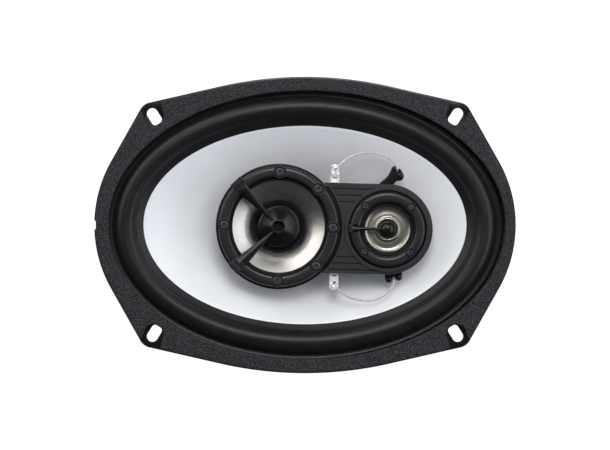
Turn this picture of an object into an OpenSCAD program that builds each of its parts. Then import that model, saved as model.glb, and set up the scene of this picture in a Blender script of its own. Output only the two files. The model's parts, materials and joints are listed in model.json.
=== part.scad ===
// Oval coaxial three-way car speaker, in millimetres.
// The origin is the centre of the rear face of the magnet. +Z points towards the listener,
// and +X runs along the length, towards the small tweeter.

/* [Flange and basket] */
// Overall length of the mounting flange
flange_l = 235; // [234.5:0.1:236]
// Overall width of the mounting flange
flange_w = 165.3; // [165:0.1:166]
// Height of the flange's front face above the rear of the magnet
flange_z = 79.2; // [79.2:0.1:79.6]
// Thickness of the pressed steel
steel_t = 1.2; // [1:0.1:1.3]
// Distance between the screw slots along the length
slot_dx = 168.3; // [168:0.1:169]
// Distance between the screw slots along the width
slot_dy = 121.2; // [121:0.1:122]
// Length of a screw slot, end to end
slot_l = 9.6; // [9:0.1:10]
// Width of a screw slot
slot_w = 6.1; // [5.6:0.1:6.2]
// Thickness of the gasket on the flange
gasket_t = 3; // [2:0.5:3.5]

/* [Cone] */
// Half the length of the visible cone
cone_a = 90.2; // [90:0.1:90.4]
// Half the width of the visible cone
cone_b = 55.3; // [55.1:0.1:55.5]
// Radius of the voice coil former, outside
former_r = 13.1; // [13:0.05:13.2]

/* [Motor] */
// Radius of the magnet
magnet_r = 50; // [46:1:52]
// Radius of the back plate
back_r = 44; // [40:1:48]
// Radius of the pole piece
pole_r = 12.3; // [12.2:0.05:12.4]

/* [Bridge] */
// How far the bridge is turned about the speaker's axis, in degrees
bridge_turn = -1.5; // [-2:0.1:0]
// How far the bridge is set off along the width
bridge_dy = -1.2; // [-1.3:0.1:0]
// Place of the midrange unit along the bridge
mid_x = -14.7; // [-15:0.1:-14.5]
// Place of the small tweeter along the bridge
tweeter_x = 45.9; // [45.5:0.1:46.2]
// Radius of the midrange bezel
mid_r = 34.9; // [34.7:0.1:35]
// Radius of the tweeter bezel
tweeter_r = 21.5; // [21.4:0.1:21.6]
// Half the width of the bridge
bridge_b = 25.1; // [25:0.1:25.3]

/* [Hidden] */

$fn = 64;
eps = 0.01;

// Colours
black_steel = [0.09, 0.09, 0.1];
black_plastic = [0.12, 0.12, 0.13];
bare_steel = [0.7, 0.71, 0.73];
tin = [0.82, 0.82, 0.8];
copper = [0.72, 0.42, 0.26];
ferrite = [0.2, 0.2, 0.22];

// Flange outline: a side arc, a straight, a corner fillet, a straight and a long arc to a quarter
side_arc_r = 72;
long_arc_r = 212;
corner_r = 7.8;
side_turn = 29.4;
long_turn = 77.1;
side_c = [flange_l / 2 - side_arc_r, 0];
long_c = [0, flange_w / 2 - long_arc_r];
side_n = [cos(side_turn), sin(side_turn)];
long_n = [cos(long_turn), sin(long_turn)];
side_reach = side_c * side_n + side_arc_r - corner_r;
long_reach = long_c * long_n + long_arc_r - corner_r;
cross_n = side_n.x * long_n.y - side_n.y * long_n.x;
corner_c = [side_reach * long_n.y - long_reach * side_n.y,
            side_n.x * long_reach - long_n.x * side_reach] / cross_n;
slot_tilt = 58;
slot_inner_r = 2;
gasket_inset = 0.9;
gasket_a = 110.4;
gasket_b = 74.6;
gasket_dx = 1.1;
gasket_cut_r = 5;
gasket_cut_turn = 72;

// Basket: cup round the spider, six legs, a step that the surround lands on
wall_a = 111;
wall_b = 75.8;
landing_z = flange_z - 4;
landing_a = 105.2;
landing_b = 70.3;
plate_z = 28;
cup_r = 46;
shelf_z = 37.5;
shelf_r = 54.5;
shell_cols = 72;
shell_rows = 8;
shell_foot_r = 53;
shell_top_a = 106.4;
shell_top_b = 71.5;
shell_foot_z = 37.3;
shell_top_z = 74.6;
legs = 6;
first_leg = 30;
leg_half = 10;
tab_y = -73;
rivet_ring_r = 38;
terminal_x = 8;
terminal_y = -67;

// Cone and its suspension
cone_neck_z = 42;
cone_rim_z = 74.5;
cone_neck_r = 14;
cone_curve = 0.9;
cone_t = 0.8;
rim_w = 4.2;
roll_in = 4.3;
roll_out = 16.2;
roll_h = 5.8;
lip_out = 19.6;
rubber_t = 0.8;
coil_r = 13.9;
coil_gap_r = 14.3;
spider_in = 16;
spider_out = 44;
spider_waves = 5;
spider_t = 0.5;

// Bridge levels
post_r = 10;
post_z = 29;
post_top = 57;
tray_z = 73;
deck_z = 78;
flange_top = 80;
cover_z = 82;
tray_gap = 1.7;
tray_wall = 1.6;
tray_mid_r = 33;
mid_screw_r = 30.2;
mid_screw_turns = [0, 45, 90, 180, 270, 315];
mid_seat_z = 83.2;
mid_boss_r = 3.6;
mid_boss_z = 84.7;
tweeter_screw_r = 17.9;
tweeter_screw_turns = [45, 135, 225, 315];
tweeter_seat_z = 82.6;
tweeter_boss_r = 2.8;
tweeter_boss_z = 83.8;
arm_turns = [135, 225];
bowl_r = 26.3;
arm_block_w = 7.4;
arm_root_w = 5.6;
groove_ys = [15.3, 18.9, 22.5];
groove_shift = -0.7;
groove_w = 0.8;
groove_gap = 1.4;
tab_upper_x = 15.9;
tab_lower_x = 16.8;

// Braided leads: points along each lead's centre line
lead_d = 1.1;
lead_sides = 8;
upper_route = [
    [17.6, 31.4, 79], [19.6, 33.8, 79], [21.9, 35.8, 78.8], [24.2, 37.4, 78.6],
    [26.7, 38.7, 78.3], [29.4, 39.6, 78], [32.2, 40.1, 77.7], [35, 40.3, 77.4],
    [37.8, 40.2, 77.1], [40.6, 39.8, 76.9], [43.3, 39.1, 76.7], [45.9, 38, 76.6],
    [48.2, 36.6, 76.5], [50.1, 34.9, 76.4], [51.3, 32.8, 76.3], [51.7, 30.6, 76.2]];
lower_route = [
    [16.7, -33.8, 79], [18.6, -36, 79], [20.8, -37.9, 78.8], [23.3, -39.5, 78.6],
    [25.9, -40.7, 78.3], [28.6, -41.5, 78], [31.4, -42, 77.7], [34.2, -42.2, 77.4],
    [37, -42.2, 77.1], [39.7, -41.7, 76.9], [42.2, -40.7, 76.7], [44.5, -39.3, 76.6],
    [46.5, -37.5, 76.5], [48.1, -35.4, 76.4], [49.3, -33, 76.3], [49.8, -30.5, 76.2]];

// ---- Shared shapes ----

function on_arc(c, r, from, to, steps) =
    [for (i = [0:steps]) let (t = from + (to - from) * i / steps) c + r * [cos(t), sin(t)]];

function oval(a, b, n = 96) = [for (i = [0:n - 1]) [a * cos(360 * i / n), b * sin(360 * i / n)]];

// A quarter of the flange's outline, moved inwards by inset
function quarter(inset) = concat(
    on_arc(side_c, side_arc_r - inset, 0, side_turn, 8),
    on_arc(corner_c, corner_r - inset, side_turn, long_turn, 6),
    on_arc(long_c, long_arc_r - inset, long_turn, 90, 4));

function outline(inset) = let (q = quarter(inset), n = len(q) - 1) concat(
    q,
    [for (i = [n - 1:-1:0]) [-q[i].x, q[i].y]],
    [for (i = [1:n]) [-q[i].x, -q[i].y]],
    [for (i = [n - 1:-1:1]) [q[i].x, -q[i].y]]);

module ring(r_out, r_in, h) {
    difference() {
        cylinder(r = r_out, h = h);
        translate([0, 0, -1]) cylinder(r = r_in, h = h + 2);
    }
}

// A flat ring between two ovals
module oval_ring(a, b, hole_a, hole_b, h) {
    linear_extrude(h) difference() {
        polygon(oval(a, b));
        polygon(oval(hole_a, hole_b));
    }
}

// A closed band swept round the oval; each point of its profile is [semi-length, semi-width, height]
module oval_band(profile, n = 72) {
    m = len(profile);
    points = [for (i = [0:n - 1]) for (p = profile)
        [p[0] * cos(360 * i / n), p[1] * sin(360 * i / n), p[2]]];
    faces = [for (i = [0:n - 1]) for (j = [0:m - 1])
        let (k = (i + 1) % n * m, l = (j + 1) % m)
        [i * m + j, k + j, k + l, i * m + l]];
    polyhedron(points, faces, convexity = 6);
}

// A round tube along a route
module tube(route, d, sides) {
    n = len(route);
    points = [for (i = [0:n - 1]) let (
            ahead = route[min(i + 1, n - 1)] - route[max(i - 1, 0)],
            t = ahead / norm(ahead),
            across = cross(t, [0, 0, 1]),
            u = across / norm(across),
            v = cross(u, t))
        for (k = [0:sides - 1]) route[i] + d / 2 * (u * cos(360 * k / sides) + v * sin(360 * k / sides))];
    walls = [for (i = [0:n - 2]) for (k = [0:sides - 1]) let (l = (k + 1) % sides)
        [i * sides + k, i * sides + l, (i + 1) * sides + l, (i + 1) * sides + k]];
    ends = [[for (k = [sides - 1:-1:0]) k], [for (k = [0:sides - 1]) (n - 1) * sides + k]];
    polyhedron(points, concat(walls, ends), convexity = 4);
}

// At each of the four screw slots, turned so that the slot leans towards the corner
module at_slots() {
    for (sx = [-1, 1], sy = [-1, 1])
        translate([sx * slot_dx / 2, sy * slot_dy / 2])
            mirror([sx < 0 ? 1 : 0, 0]) mirror([0, sy < 0 ? 1 : 0]) children();
}

// Round at its outer end, and squarer at its inner end
module slot_shape() {
    inner_end = -slot_l / 2;
    straight = slot_l - slot_w / 2 - slot_inner_r;
    rotate(slot_tilt) {
        translate([inner_end + slot_inner_r, -slot_w / 2]) square([straight, slot_w]);
        translate([inner_end, slot_inner_r - slot_w / 2])
            square([slot_inner_r + eps, slot_w - 2 * slot_inner_r]);
        translate([(slot_l - slot_w) / 2, 0]) circle(d = slot_w);
        for (s = [-1, 1])
            translate([inner_end + slot_inner_r, s * (slot_w / 2 - slot_inner_r)]) circle(r = slot_inner_r);
    }
}

// In the bridge's own frame
module bridge() {
    translate([0, bridge_dy, 0]) rotate(bridge_turn) children();
}

module at_mid() {
    bridge() translate([mid_x, 0, 0]) children();
}

module at_tweeter() {
    bridge() translate([tweeter_x, 0, 0]) children();
}

// At each turn of a list, a given radius from the centre
module around(r, turns) {
    for (t = turns) rotate(t) translate([r, 0, 0]) children();
}

module screw(head_r, head_h, shank_r, shank_h, socket_r) {
    difference() {
        union() {
            cylinder(r = head_r, h = head_h * 0.6);
            translate([0, 0, head_h * 0.6]) cylinder(r1 = head_r, r2 = head_r * 0.72, h = head_h * 0.4);
            translate([0, 0, -shank_h]) cylinder(r = shank_r, h = shank_h + eps);
        }
        translate([0, 0, head_h * 0.45]) cylinder(r = socket_r, h = head_h, $fn = 6);
    }
}

// ---- Frame and motor ----

module basket() {
    color(black_steel) difference() {
        union() {
            basket_cup();
            basket_shell();
            basket_rim();
            translate([-13, tab_y, shelf_z - steel_t]) cube([26, -tab_y - 50, steel_t]);
        }
        around(rivet_ring_r, [45:90:315]) translate([0, 0, plate_z - 1]) cylinder(r = 2, h = 4);
        for (s = [-1, 1])
            translate([s * terminal_x, terminal_y, shelf_z - 3]) cylinder(r = 1.5, h = 4);
    }
}

module basket_cup() {
    translate([0, 0, plate_z]) ring(cup_r, 24, steel_t);
    translate([0, 0, plate_z]) ring(cup_r, cup_r - steel_t, shelf_z - plate_z);
    translate([0, 0, shelf_z - steel_t]) ring(shelf_r, cup_r - steel_t, steel_t);
}

module basket_rim() {
    translate([0, 0, landing_z - steel_t])
        oval_ring(wall_a + steel_t, wall_b + steel_t, landing_a, landing_b, steel_t);
    translate([0, 0, landing_z - steel_t])
        oval_ring(wall_a + steel_t, wall_b + steel_t, wall_a, wall_b, flange_z - landing_z + steel_t);
    translate([0, 0, flange_z - steel_t]) linear_extrude(steel_t) difference() {
        polygon(outline(0));
        polygon(oval(wall_a, wall_b));
        at_slots() slot_shape();
    }
}

// Point on the inside (skin 0) or the outside (skin 1) of the basket's shell
function shell_point(skin, row, col) = let (
        s = row / shell_rows,
        t = 360 * col / shell_cols,
        a = shell_foot_r + (shell_top_a - shell_foot_r) * s + skin,
        b = shell_foot_r + (shell_top_b - shell_foot_r) * pow(s, 0.8) + skin,
        z = shell_foot_z + (shell_top_z - shell_foot_z) * pow(s, 1.3) - skin * (0.8 - 0.4 * s))
    [a * cos(t), b * sin(t), z];

function on_leg(col) = let (
        t = (col + 0.5) * 360 / shell_cols,
        step = 360 / legs,
        off = (t - first_leg + 360 + step / 2) % step - step / 2)
    abs(off) < leg_half;

function shell_cell(row, col) =
    row >= 0 && row < shell_rows && (row == 0 || row == shell_rows - 1 || on_leg(col));

// A shell with a window between every two legs
module basket_shell() {
    size = (shell_rows + 1) * shell_cols;
    function at(skin, row, col) = skin * size + row * shell_cols + (col + shell_cols) % shell_cols;
    points = [for (skin = [0, 1]) for (row = [0:shell_rows]) for (col = [0:shell_cols - 1])
        shell_point(skin, row, col)];
    cells = [for (r = [0:shell_rows - 1]) for (c = [0:shell_cols - 1]) if (shell_cell(r, c)) [r, c]];
    outer = [for (p = cells) let (r = p[0], c = p[1])
        [at(1, r, c), at(1, r + 1, c), at(1, r + 1, c + 1), at(1, r, c + 1)]];
    inner = [for (p = cells) let (r = p[0], c = p[1])
        [at(0, r, c), at(0, r, c + 1), at(0, r + 1, c + 1), at(0, r + 1, c)]];
    below = [for (p = cells) let (r = p[0], c = p[1]) if (!shell_cell(r - 1, c))
        [at(1, r, c), at(1, r, c + 1), at(0, r, c + 1), at(0, r, c)]];
    above = [for (p = cells) let (r = p[0], c = p[1]) if (!shell_cell(r + 1, c))
        [at(1, r + 1, c + 1), at(1, r + 1, c), at(0, r + 1, c), at(0, r + 1, c + 1)]];
    last = shell_cols - 1;
    before = [for (p = cells) let (r = p[0], c = p[1]) if (!shell_cell(r, (c + last) % shell_cols))
        [at(1, r + 1, c), at(1, r, c), at(0, r, c), at(0, r + 1, c)]];
    after = [for (p = cells) let (r = p[0], c = p[1]) if (!shell_cell(r, (c + 1) % shell_cols))
        [at(1, r, c + 1), at(1, r + 1, c + 1), at(0, r + 1, c + 1), at(0, r, c + 1)]];
    polyhedron(points, concat(outer, inner, below, above, before, after), convexity = 8);
}

module gasket() {
    color([0.17, 0.17, 0.18]) translate([0, 0, flange_z]) linear_extrude(gasket_t) difference() {
        polygon(outline(gasket_inset));
        translate([gasket_dx, 0]) polygon(oval(gasket_a, gasket_b));
        at_slots() {
            circle(r = gasket_cut_r + 0.6);
            rotate(gasket_cut_turn) polygon([
                [0, -gasket_cut_r], [13, -gasket_cut_r - 2], [13, gasket_cut_r + 2], [0, gasket_cut_r]]);
        }
    }
}

module pole_yoke() {
    color(bare_steel) difference() {
        union() {
            cylinder(r1 = back_r - 1, r2 = back_r, h = 1);
            translate([0, 0, 1]) cylinder(r = back_r, h = 5);
            cylinder(r = pole_r, h = post_z);
        }
        translate([0, 0, -1]) cylinder(r = 3.3, h = post_z + 2);
        translate([0, 0, -1]) cylinder(r = 7.5, h = 5.5);
    }
}

module magnet() {
    color(ferrite) translate([0, 0, 6]) {
        ring(magnet_r - 1, 25, 1);
        translate([0, 0, 1]) ring(magnet_r, 25, 15);
        translate([0, 0, 16]) ring(magnet_r - 1, 25, 1);
    }
}

module top_plate() {
    color(bare_steel) translate([0, 0, 23]) difference() {
        ring(45, coil_gap_r, 5);
        around(rivet_ring_r, [45:90:315]) translate([0, 0, 1]) cylinder(r = 2, h = 5);
    }
}

module basket_rivets() {
    color(bare_steel) around(rivet_ring_r, [45:90:315]) {
        translate([0, 0, 24.4]) cylinder(r = 1.95, h = 5);
        translate([0, 0, plate_z + steel_t]) cylinder(r1 = 3.6, r2 = 2.6, h = 1.4);
    }
}

module terminal_board() {
    color([0.45, 0.3, 0.16]) difference() {
        translate([-16, -77, 34.3]) cube([32, 20, 2]);
        for (s = [-1, 1]) translate([s * terminal_x, terminal_y, 33]) cylinder(r = 1.5, h = 5);
    }
}

// A spade: a foot under the board and a blade that hangs from it
module spade(x, w) {
    difference() {
        union() {
            translate([x - w / 2, -77, 33.5]) cube([w, 14, 0.8]);
            translate([x - w / 2, -77, 22.5]) cube([w, 0.8, 11.5]);
        }
        translate([x, terminal_y, 33]) cylinder(r = 1.5, h = 2);
    }
}

module terminal_positive() {
    color(tin) spade(terminal_x, 6.3);
}

module terminal_negative() {
    color(tin) spade(-terminal_x, 4.8);
}

module terminal_rivets() {
    color(bare_steel) for (s = [-1, 1]) translate([s * terminal_x, terminal_y, 0]) {
        translate([0, 0, 32.7]) cylinder(r = 2.2, h = 0.8);
        translate([0, 0, 33.4]) cylinder(r = 1.4, h = 4.2);
        translate([0, 0, shelf_z]) cylinder(r1 = 2.6, r2 = 1.9, h = 0.9);
    }
}

// A wound capacitor lying against the basket's cup
module capacitor(turn, r, l) {
    rotate(turn) translate([cup_r + r + 0.2, 0, shelf_z - steel_t - r - 0.3])
        rotate([90, 0, 0]) cylinder(r = r, h = l, center = true);
}

module capacitor_mid() {
    color([0.15, 0.22, 0.4]) capacitor(225, 4, 20);
}

module capacitor_tweeter() {
    color([0.55, 0.12, 0.1]) capacitor(315, 3.2, 14);
}

// ---- Main cone, its coil and its suspension ----

function cone_point(t, drop) = [
    cone_neck_r + (cone_a - cone_neck_r) * t,
    cone_neck_r + (cone_b - cone_neck_r) * t,
    cone_neck_z + (cone_rim_z - cone_neck_z) * pow(t, cone_curve) - drop];

module cone() {
    steps = [0, 0.12, 0.3, 0.5, 0.75, 1];
    neck = former_r + 0.05;
    color([0.8, 0.81, 0.83]) oval_band(concat(
        [[neck, neck, cone_neck_z]],
        [for (t = steps) cone_point(t, 0)],
        [[cone_a + rim_w, cone_b + rim_w, cone_rim_z],
         [cone_a + rim_w, cone_b + rim_w, cone_rim_z - cone_t]],
        [for (i = [len(steps) - 1:-1:0]) cone_point(steps[i], cone_t)],
        [[neck, neck, cone_neck_z - cone_t]]));
}

function beside(d, z) = [cone_a + d, cone_b + d, z];

module surround() {
    mid = (roll_in + roll_out) / 2;
    half = (roll_out - roll_in) / 2;
    outer_z = landing_z;
    inner_z = cone_rim_z;
    roll = [for (t = [165:-25:15]) [mid + half * cos(t), roll_h * sin(t)]];
    under = [for (t = [15:25:165]) [mid + (half - rubber_t) * cos(t), (roll_h - rubber_t) * sin(t)]];
    color([0.07, 0.07, 0.08]) oval_band(concat(
        [beside(0.2, inner_z), beside(0.2, inner_z + rubber_t), beside(roll_in, inner_z + rubber_t)],
        [for (p = roll) beside(p[0], outer_z + rubber_t + p[1])],
        [beside(roll_out, outer_z + rubber_t), beside(lip_out, outer_z + rubber_t),
         beside(lip_out, outer_z), beside(roll_out - rubber_t, outer_z)],
        [for (p = under) beside(p[0], outer_z + rubber_t + p[1])],
        [beside(roll_in + rubber_t, inner_z)]));
}

module voice_coil_former() {
    color([0.75, 0.6, 0.35]) translate([0, 0, 19]) ring(former_r, former_r - 0.3, 25);
}

module voice_coil_winding() {
    color(copper) translate([0, 0, 19.5]) ring(coil_r, former_r, 12);
}

function spider_z(r) = r < spider_in || r > spider_out ? 0
    : 1.1 * sin(360 * spider_waves * (r - spider_in) / (spider_out - spider_in));

module spider() {
    waves = [for (i = [0:30]) spider_in + (spider_out - spider_in) * i / 30];
    reach = concat([former_r + 0.05], waves, [shelf_r - 2]);
    n = len(reach) - 1;
    color([0.76, 0.62, 0.3]) translate([0, 0, shelf_z]) rotate_extrude() polygon(concat(
        [for (r = reach) [r, spider_z(r) + spider_t]],
        [for (i = [n:-1:0]) [reach[i], spider_z(reach[i])]]));
}

// ---- Bridge over the cone ----

module bridge_plan(half, mid_circle) {
    translate([mid_x, -half]) square([tweeter_x - mid_x, 2 * half]);
    translate([tweeter_x, 0]) circle(r = half);
    translate([mid_x, 0]) circle(r = mid_circle);
}

module bridge_base() {
    half = bridge_b - tray_gap;
    color(black_plastic) {
        difference() {
            union() {
                translate([0, 0, post_z]) cylinder(r = post_r, h = post_top - post_z);
                bridge() bridge_web();
                bridge() translate([0, 0, tray_z]) linear_extrude(2) bridge_plan(half, tray_mid_r);
                bridge() translate([0, 0, tray_z]) linear_extrude(deck_z - tray_z) difference() {
                    bridge_plan(half, tray_mid_r);
                    bridge_plan(half - tray_wall, tray_mid_r - tray_wall);
                }
            }
            translate([0, 0, post_z - 1]) cylinder(r = 3.05, h = 13);
            at_mid() translate([0, 0, tray_z - 1]) cylinder(r = 28.5, h = 4);
            at_tweeter() translate([0, 0, tray_z - 1]) cylinder(r = 13.2, h = 4);
        }
        at_mid() around(mid_screw_r, mid_screw_turns) boss(2.2, 1.25);
        at_tweeter() around(tweeter_screw_r, tweeter_screw_turns) boss(2.2, 0.95);
    }
}

module boss(r, hole_r) {
    translate([0, 0, tray_z + 1]) ring(r, hole_r, deck_z - tray_z - 1);
}

// The web that carries the tray from the post, behind the midrange unit
module bridge_web() {
    translate([0, 8, 0]) rotate([90, 0, 0]) linear_extrude(16) polygon([
        [1.2, 50], [9.6, 50], [26, tray_z + 1], [15, tray_z + 1], [4, 66], [1.2, 62]]);
}

module bridge_cover() {
    plate_t = cover_z - flange_top;
    color(black_plastic) bridge() difference() {
        union() {
            translate([0, 0, flange_top]) linear_extrude(plate_t) bridge_plan(bridge_b, 1);
            translate([0, 0, tray_z + 1]) linear_extrude(cover_z - tray_z - 1.5) difference() {
                bridge_plan(bridge_b, 1);
                bridge_plan(bridge_b - 1.4, 1);
            }
            translate([tweeter_x, 0, cover_z - 1]) cylinder(r = tweeter_r + 2.3, h = 1.7);
        }
        translate([mid_x, 0, 0]) cylinder(r = mid_r + 0.3, h = 100);
        translate([tweeter_x, 0, flange_top - 1]) cylinder(r = tweeter_r + 0.3, h = 10);
        translate([0, 0, cover_z - 1]) grooves();
        translate([tab_upper_x - 2.8, 20, deck_z - 0.3]) cube([5.6, 10, 1.3]);
        translate([tab_lower_x - 2.8, -30, deck_z - 0.3]) cube([5.6, 10, 1.3]);
    }
}

module grooves() {
    difference() {
        for (y = groove_ys, s = [-1, 1])
            translate([0, groove_shift + s * y - groove_w / 2, 0]) cube([tweeter_x, groove_w, 5]);
        translate([mid_x, 0, -1]) cylinder(r = mid_r + groove_gap, h = 10);
        translate([tweeter_x, 0, -1]) cylinder(r = tweeter_r + 2.3, h = 10);
    }
}

module post_bolt() {
    color(bare_steel) {
        translate([0, 0, 0.7]) cylinder(r = 5.5, h = 3, $fn = 6);
        translate([0, 0, 3.6]) cylinder(r = 3, h = 37);
    }
}

module post_washer() {
    color(bare_steel) translate([0, 0, 3.7]) ring(6.8, 3.2, 0.8);
}

// A tinned strip that comes out over the tray's rim, with a bead of solder on its end
module solder_tab(x, side, l, bead_x, bead_y) {
    bridge() {
        translate([x - 2.5, side > 0 ? 22 : -22 - l, deck_z]) cube([5, l, 0.6]);
        intersection() {
            translate([bead_x, bead_y, deck_z + 0.3]) sphere(r = 2.3);
            translate([bead_x - 4, bead_y - 4, deck_z]) cube([8, 8, 5]);
        }
    }
}

module solder_tab_upper() {
    color(tin) solder_tab(tab_upper_x, 1, 13.4, 15.6, 32.6);
}

module solder_tab_lower() {
    color(tin) solder_tab(tab_lower_x, -1, 12.8, 17.8, -32.3);
}

// A forked clip on the side of the bridge that takes the far end of a lead
module lead_clip(foot, neck, lobes) {
    bridge() translate([0, 0, deck_z - 3.6]) linear_extrude(3) difference() {
        union() {
            clip_bar(foot, neck, 3);
            clip_bar(lobes[0], lobes[1], 3.2);
            for (p = lobes) translate(p) circle(r = 2.2);
        }
        translate([0, -bridge_b]) square([100, 2 * bridge_b]);
    }
}

module clip_bar(from, to, w) {
    way = to - from;
    translate(from) rotate(atan2(way.y, way.x)) translate([0, -w / 2]) square([norm(way), w]);
}

module lead_clip_upper() {
    color(black_plastic) lead_clip([40, 23.5], [51.5, 32], [[49.2, 34], [53.2, 29.4]]);
}

module lead_clip_lower() {
    color(black_plastic) lead_clip([50, -23], [50, -28.4], [[47.6, -28.8], [53, -27.6]]);
}

module lead_upper() {
    color(tin) tube(upper_route, lead_d, lead_sides);
}

module lead_lower() {
    color(tin) tube(lower_route, lead_d, lead_sides);
}

// ---- Midrange unit ----

module mid_housing() {
    color(black_plastic) at_mid() difference() {
        rotate_extrude() polygon([
            [12, 66], [16.2, 66], [27.6, 76.6], [27.6, deck_z], [33.2, deck_z], [33.2, flange_top],
            [26.9, flange_top], [26.9, 78.6], [25.6, 77.4], [14.9, 67.4], [12, 67.4]]);
        around(mid_screw_r, mid_screw_turns) translate([0, 0, 77]) cylinder(r = 1.4, h = 4);
    }
}

// A cup with a lip that closes in on the coil
module pot(r, wall, z, h, lip_r, lip_h) {
    rotate_extrude() polygon([
        [0, z], [r, z], [r, z + h], [lip_r, z + h], [lip_r, z + h - lip_h],
        [r - wall, z + h - lip_h], [r - wall, z + wall], [0, z + wall]]);
}

module mid_pot() {
    color(bare_steel) at_mid() pot(15, 2, post_top, 9, 11.3, 2);
}

module mid_magnet() {
    color(tin) at_mid() translate([0, 0, 59]) cylinder(r = 9.3, h = 5);
}

module mid_pole_plate() {
    color(bare_steel) at_mid() translate([0, 0, 64]) cylinder(r = 9.6, h = 2.4);
}

module mid_bezel() {
    recess_z = 81.8;
    roll_c = [30.3, 82.4];
    color(black_plastic) at_mid() difference() {
        union() {
            rotate_extrude() polygon(concat(
                [[33.5, 78.3], [mid_r, 78.3], [mid_r, 81.4], [34.2, 82.1], [32.9, 82.3]],
                on_arc(roll_c, 2.3, 10, 170, 10),
                [[27.6, 82.9], [26, 82.4], [26, recess_z], [30.1, recess_z], [30.1, flange_top],
                 [33.5, flange_top]]));
            around(mid_screw_r, mid_screw_turns)
                translate([0, 0, recess_z]) cylinder(r = mid_boss_r, h = mid_boss_z - recess_z);
        }
        around(mid_screw_r, mid_screw_turns) {
            translate([0, 0, 79]) cylinder(r = 1.4, h = 8);
            translate([0, 0, mid_seat_z]) cylinder(r = mid_boss_r - 0.7, h = 3);
        }
        for (t = arm_turns) rotate(t) {
            translate([29.8, -arm_block_w / 2 - 0.1, 82]) cube([6, arm_block_w + 0.2, 6]);
            translate([25, -arm_root_w / 2 - 0.2, 82.6]) cube([6, arm_root_w + 0.4, 6]);
        }
    }
}

module mid_screws() {
    color([0.1, 0.1, 0.11]) at_mid() around(mid_screw_r, mid_screw_turns)
        translate([0, 0, mid_seat_z]) screw(2.65, 1.5, 1, 7.4, 1.3);
}

module mid_phase_plug() {
    color(black_plastic) at_mid() {
        rotate_extrude() polygon([
            [0, 74], [11.2, 74], [11.4, 75.2], [11, 77.2], [10, 79.3], [8.4, 81.1], [6.4, 82.5],
            [4.6, 83.3], [4, 83.4], [3.6, 83.1], [3.3, 79.6], [0, 79.6]]);
        for (t = arm_turns) rotate(t) {
            translate([30, -arm_block_w / 2, 82.1]) cube([4.9, arm_block_w, 3.9]);
            hull() {
                translate([30, -arm_root_w / 2, 83.3]) cube([0.5, arm_root_w, 2.6]);
                translate([4.4, -0.8, 80.4]) cube([0.5, 1.6, 2.4]);
            }
        }
    }
}

// Height of the midrange bowl: shallow at its rim and steeper towards its neck
bowl_span = 11.3;
function bowl_z(r) =
    let (x = (bowl_r - r) / bowl_span) 79.6 - bowl_span * (0.49 * x + 0.025 * pow(x, 2) + 0.09 * pow(x, 3));

module mid_diaphragm() {
    curve = [for (i = [0:5]) let (r = 15.3 + (bowl_r - 15.3) * i / 5) [r, bowl_z(r)]];
    color([0.86, 0.87, 0.88]) at_mid() rotate_extrude() polygon(concat(
        [[10, 70], [12, 70]], [for (p = curve) p - [0, 0.4]],
        [for (i = [len(curve) - 1:-1:0]) curve[i]], [[11.9, 70.4], [10, 70.4]]));
}

module mid_dust_cap() {
    color(black_plastic) at_mid() rotate_extrude() polygon(concat(
        [for (i = [0:5]) let (r = 10.5 * i / 5) [r, 70.9 + 1.6 * (1 - pow(r / 10.5, 2))]],
        [for (i = [5:-1:0]) let (r = 10.5 * i / 5) [r, 70.4 + 1.6 * (1 - pow(r / 10.5, 2))]]));
}

module mid_surround() {
    color([0.07, 0.07, 0.08]) at_mid() rotate_extrude() polygon(concat(
        [[26.35, 79.2], [26.35, 79.6]],
        on_arc([27.65, 79.9], 1.1, 165, 15, 6),
        [[28.75, 80.35], [29, 80.35], [29, flange_top], [28.6, flange_top]],
        on_arc([27.65, 79.85], 0.75, 15, 165, 6),
        [[26.82, flange_top + 0.02], [26.8, 79.2]]));
}

module mid_voice_coil() {
    color(copper) at_mid() {
        translate([0, 0, 62.8]) ring(10.25, 10, 7.2);
        translate([0, 0, 63.6]) ring(10.8, 10.2, 4.6);
    }
}

// ---- Small tweeter ----

module tweeter_housing() {
    color(black_plastic) at_tweeter() difference() {
        rotate_extrude() polygon([
            [11.2, 71], [12.7, 71], [12.7, 77], [13.6, deck_z], [19.8, deck_z], [19.8, flange_top],
            [12.9, flange_top], [12.9, 78], [11.2, 76.3]]);
        around(tweeter_screw_r, tweeter_screw_turns) translate([0, 0, 77]) cylinder(r = 1.05, h = 4);
    }
}

module tweeter_pot() {
    color(bare_steel) at_tweeter() pot(11, 1.5, 68, 8, 7.1, 1.5);
}

module tweeter_magnet() {
    color(tin) at_tweeter() translate([0, 0, 69.5]) cylinder(r = 5.3, h = 4);
}

module tweeter_pole_plate() {
    color(bare_steel) at_tweeter() translate([0, 0, 73.5]) cylinder(r = 5.6, h = 2.5);
}

module tweeter_bezel() {
    recess_z = 81;
    color(black_plastic) at_tweeter() difference() {
        union() {
            rotate_extrude() polygon(concat(
                [[20.1, 78.3], [tweeter_r, 78.3], [tweeter_r, 81.3], [20.9, 82], [20.2, 82.1]],
                on_arc([17.4, 81.4], 2.6, 15, 165, 10),
                [[14.3, 81.8], [12.8, 81.4], [12.8, recess_z], [15.2, recess_z], [15.2, flange_top],
                 [20.1, flange_top]]));
            around(tweeter_screw_r, tweeter_screw_turns)
                translate([0, 0, recess_z]) cylinder(r = tweeter_boss_r, h = tweeter_boss_z - recess_z);
        }
        around(tweeter_screw_r, tweeter_screw_turns) {
            translate([0, 0, 79]) cylinder(r = 1.05, h = 8);
            translate([0, 0, tweeter_seat_z]) cylinder(r = tweeter_boss_r - 0.6, h = 3);
        }
        rotate(180) translate([19.4, -2.35, 81.5]) cube([4, 4.7, 6]);
        rotate(180) translate([12, -0.8, 82.4]) cube([8, 1.6, 6]);
    }
}

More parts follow.
